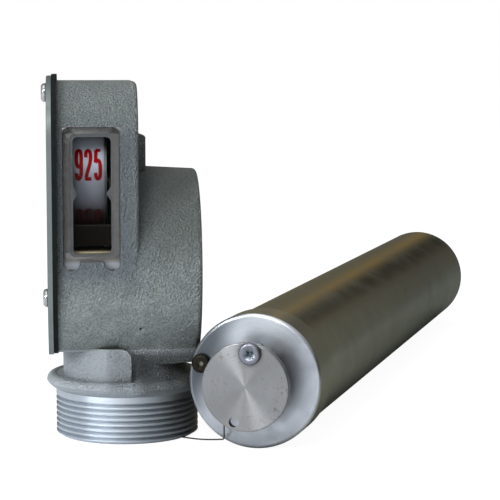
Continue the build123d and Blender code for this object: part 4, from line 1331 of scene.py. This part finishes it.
def headSpots(mesh, out, count, crown):
    # Middle and top of each screw head, in metres, with two screws told apart by height
    groups = [mesh.vertices]
    if count == 2:
        heights = [v.co.z for v in mesh.vertices]
        middle = (min(heights) + max(heights)) / 2
        groups = [[v for v in mesh.vertices if (v.co.z > middle) == upper] for upper in (False, True)]
    spots = []
    for group in groups:
        top = max(v.co.dot(out) for v in group)
        near = [v.co for v in group if v.co.dot(out) > top - crown]
        low = Vector([min(c[i] for c in near) for i in range(3)])
        high = Vector([max(c[i] for c in near) for i in range(3)])
        centre = (low + high) / 2
        spots.append(centre + out * (top - centre.dot(out)))
    return spots


def recessCutter(spots, out, outline, s, twist, clear):
    # Straight above the head, and narrower towards the bottom of the recess
    side = Vector((0, 0, 1)).cross(out).normalized()
    up = out.cross(side)
    mesh = bmesh.new()
    for spot in spots:
        rings = []
        for height, scale in ((clear, 1.0), (0.0, 1.0), (-s["depth"], s["narrow"])):
            ring = []
            for x, y in outline:
                across, upward = turnedBy(x * scale, y * scale, twist)
                ring.append(mesh.verts.new(spot + (out * height + side * across + up * upward) / 1000))
            rings.append(ring)
        mesh.faces.new(rings[0])
        mesh.faces.new(list(reversed(rings[-1])))
        for near, far in zip(rings, rings[1:]):
            for k in range(len(outline)):
                j = (k + 1) % len(outline)
                mesh.faces.new((near[k], far[k], far[j], near[j]))
    bmesh.ops.recalc_face_normals(mesh, faces=mesh.faces)
    data = bpy.data.meshes.new("recessCutter")
    mesh.to_mesh(data)
    mesh.free()
    return addObject("recessCutter", data)


def cutRecess(label, name, axis, drive, twist, s, count=1):
    # The screw's own mesh with its recess cut in, and where its heads are
    outline = {"cross": crossOutline, "star": starOutline}[drive](s[drive])
    out = -Vector(axis).normalized()
    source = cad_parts[label].data
    head = addObject(name, source.copy())
    spots = headSpots(source, out, count, s["crown"] / 1000)
    cutter = recessCutter(spots, out, outline, s[drive], twist, s["clear"])
    cut = head.modifiers.new("recess", "BOOLEAN")
    cut.operation = "DIFFERENCE"
    cut.solver = "EXACT"
    cut.object = cutter
    bpy.context.view_layer.update()
    done = bpy.data.meshes.new_from_object(head.evaluated_get(bpy.context.evaluated_depsgraph_get()))
    done.shade_smooth()
    done.set_sharp_from_angle(angle=math.radians(s["sharpAngle"]))
    done.materials.clear()
    head.modifiers.clear()
    head.data = done
    bpy.data.objects.remove(cutter)
    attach(head, "gauge_head")
    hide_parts(label)
    return head, spots


def screwFinish(name, spot, axis, s):
    # Plated head, with another tone inside the recess (on the plug a painted reflection in its socket),
    # and painted shade in corners
    color, recess, roughness, reachSpan = s[name]
    material, tree, shader, position = startMaterial(name, color, s["metallic"], roughness)
    rings = ringed(tree, position, spot * 1000, axis, s["ringSize"])
    within = remap(tree, rings["Radius"], *reachSpan)
    sunk = times(tree, within, remap(tree, rings["Along"], *s["sunkSpan"]))
    marks = mottled(tree, position, *s["marks"])
    tone = tinted(tree, color, darker(color, s["markDark"]), marks, s["markShare"])
    tone = mixColor(tree, sunk, tone, recess)
    rough = remap(tree, marks, 0, 1, roughness, roughness + s["duller"])
    paint(tree, shader, shade(tree, tone, *s["corners"]), rough)
    setBump(tree, shader, rings["Height"], s["depth"])
    return material


floatAxis = floatSettings["axis"]
lockHead, spots = cutRecess(
    "spool_lock_screw", "lockScrewHead", floatAxis, "cross", 30, screwSettings
)
lockHead.data.materials.append(screwFinish("lockScrewZinc", spots[0], floatAxis, headSettings))
plugHead, spots = cutRecess("float_plug", "plugHead", floatAxis, "star", 10, screwSettings)
plugHead.data.materials.append(screwFinish("plugBlack", spots[0], floatAxis, headSettings))
coverHeads, spots = cutRecess(
    "cover_screws", "coverScrewHeads", alongX, "cross", 0, screwSettings, count=2
)
coverHeads.data.materials.append(polishedSteel(polishSettings))
print("screw heads cut")
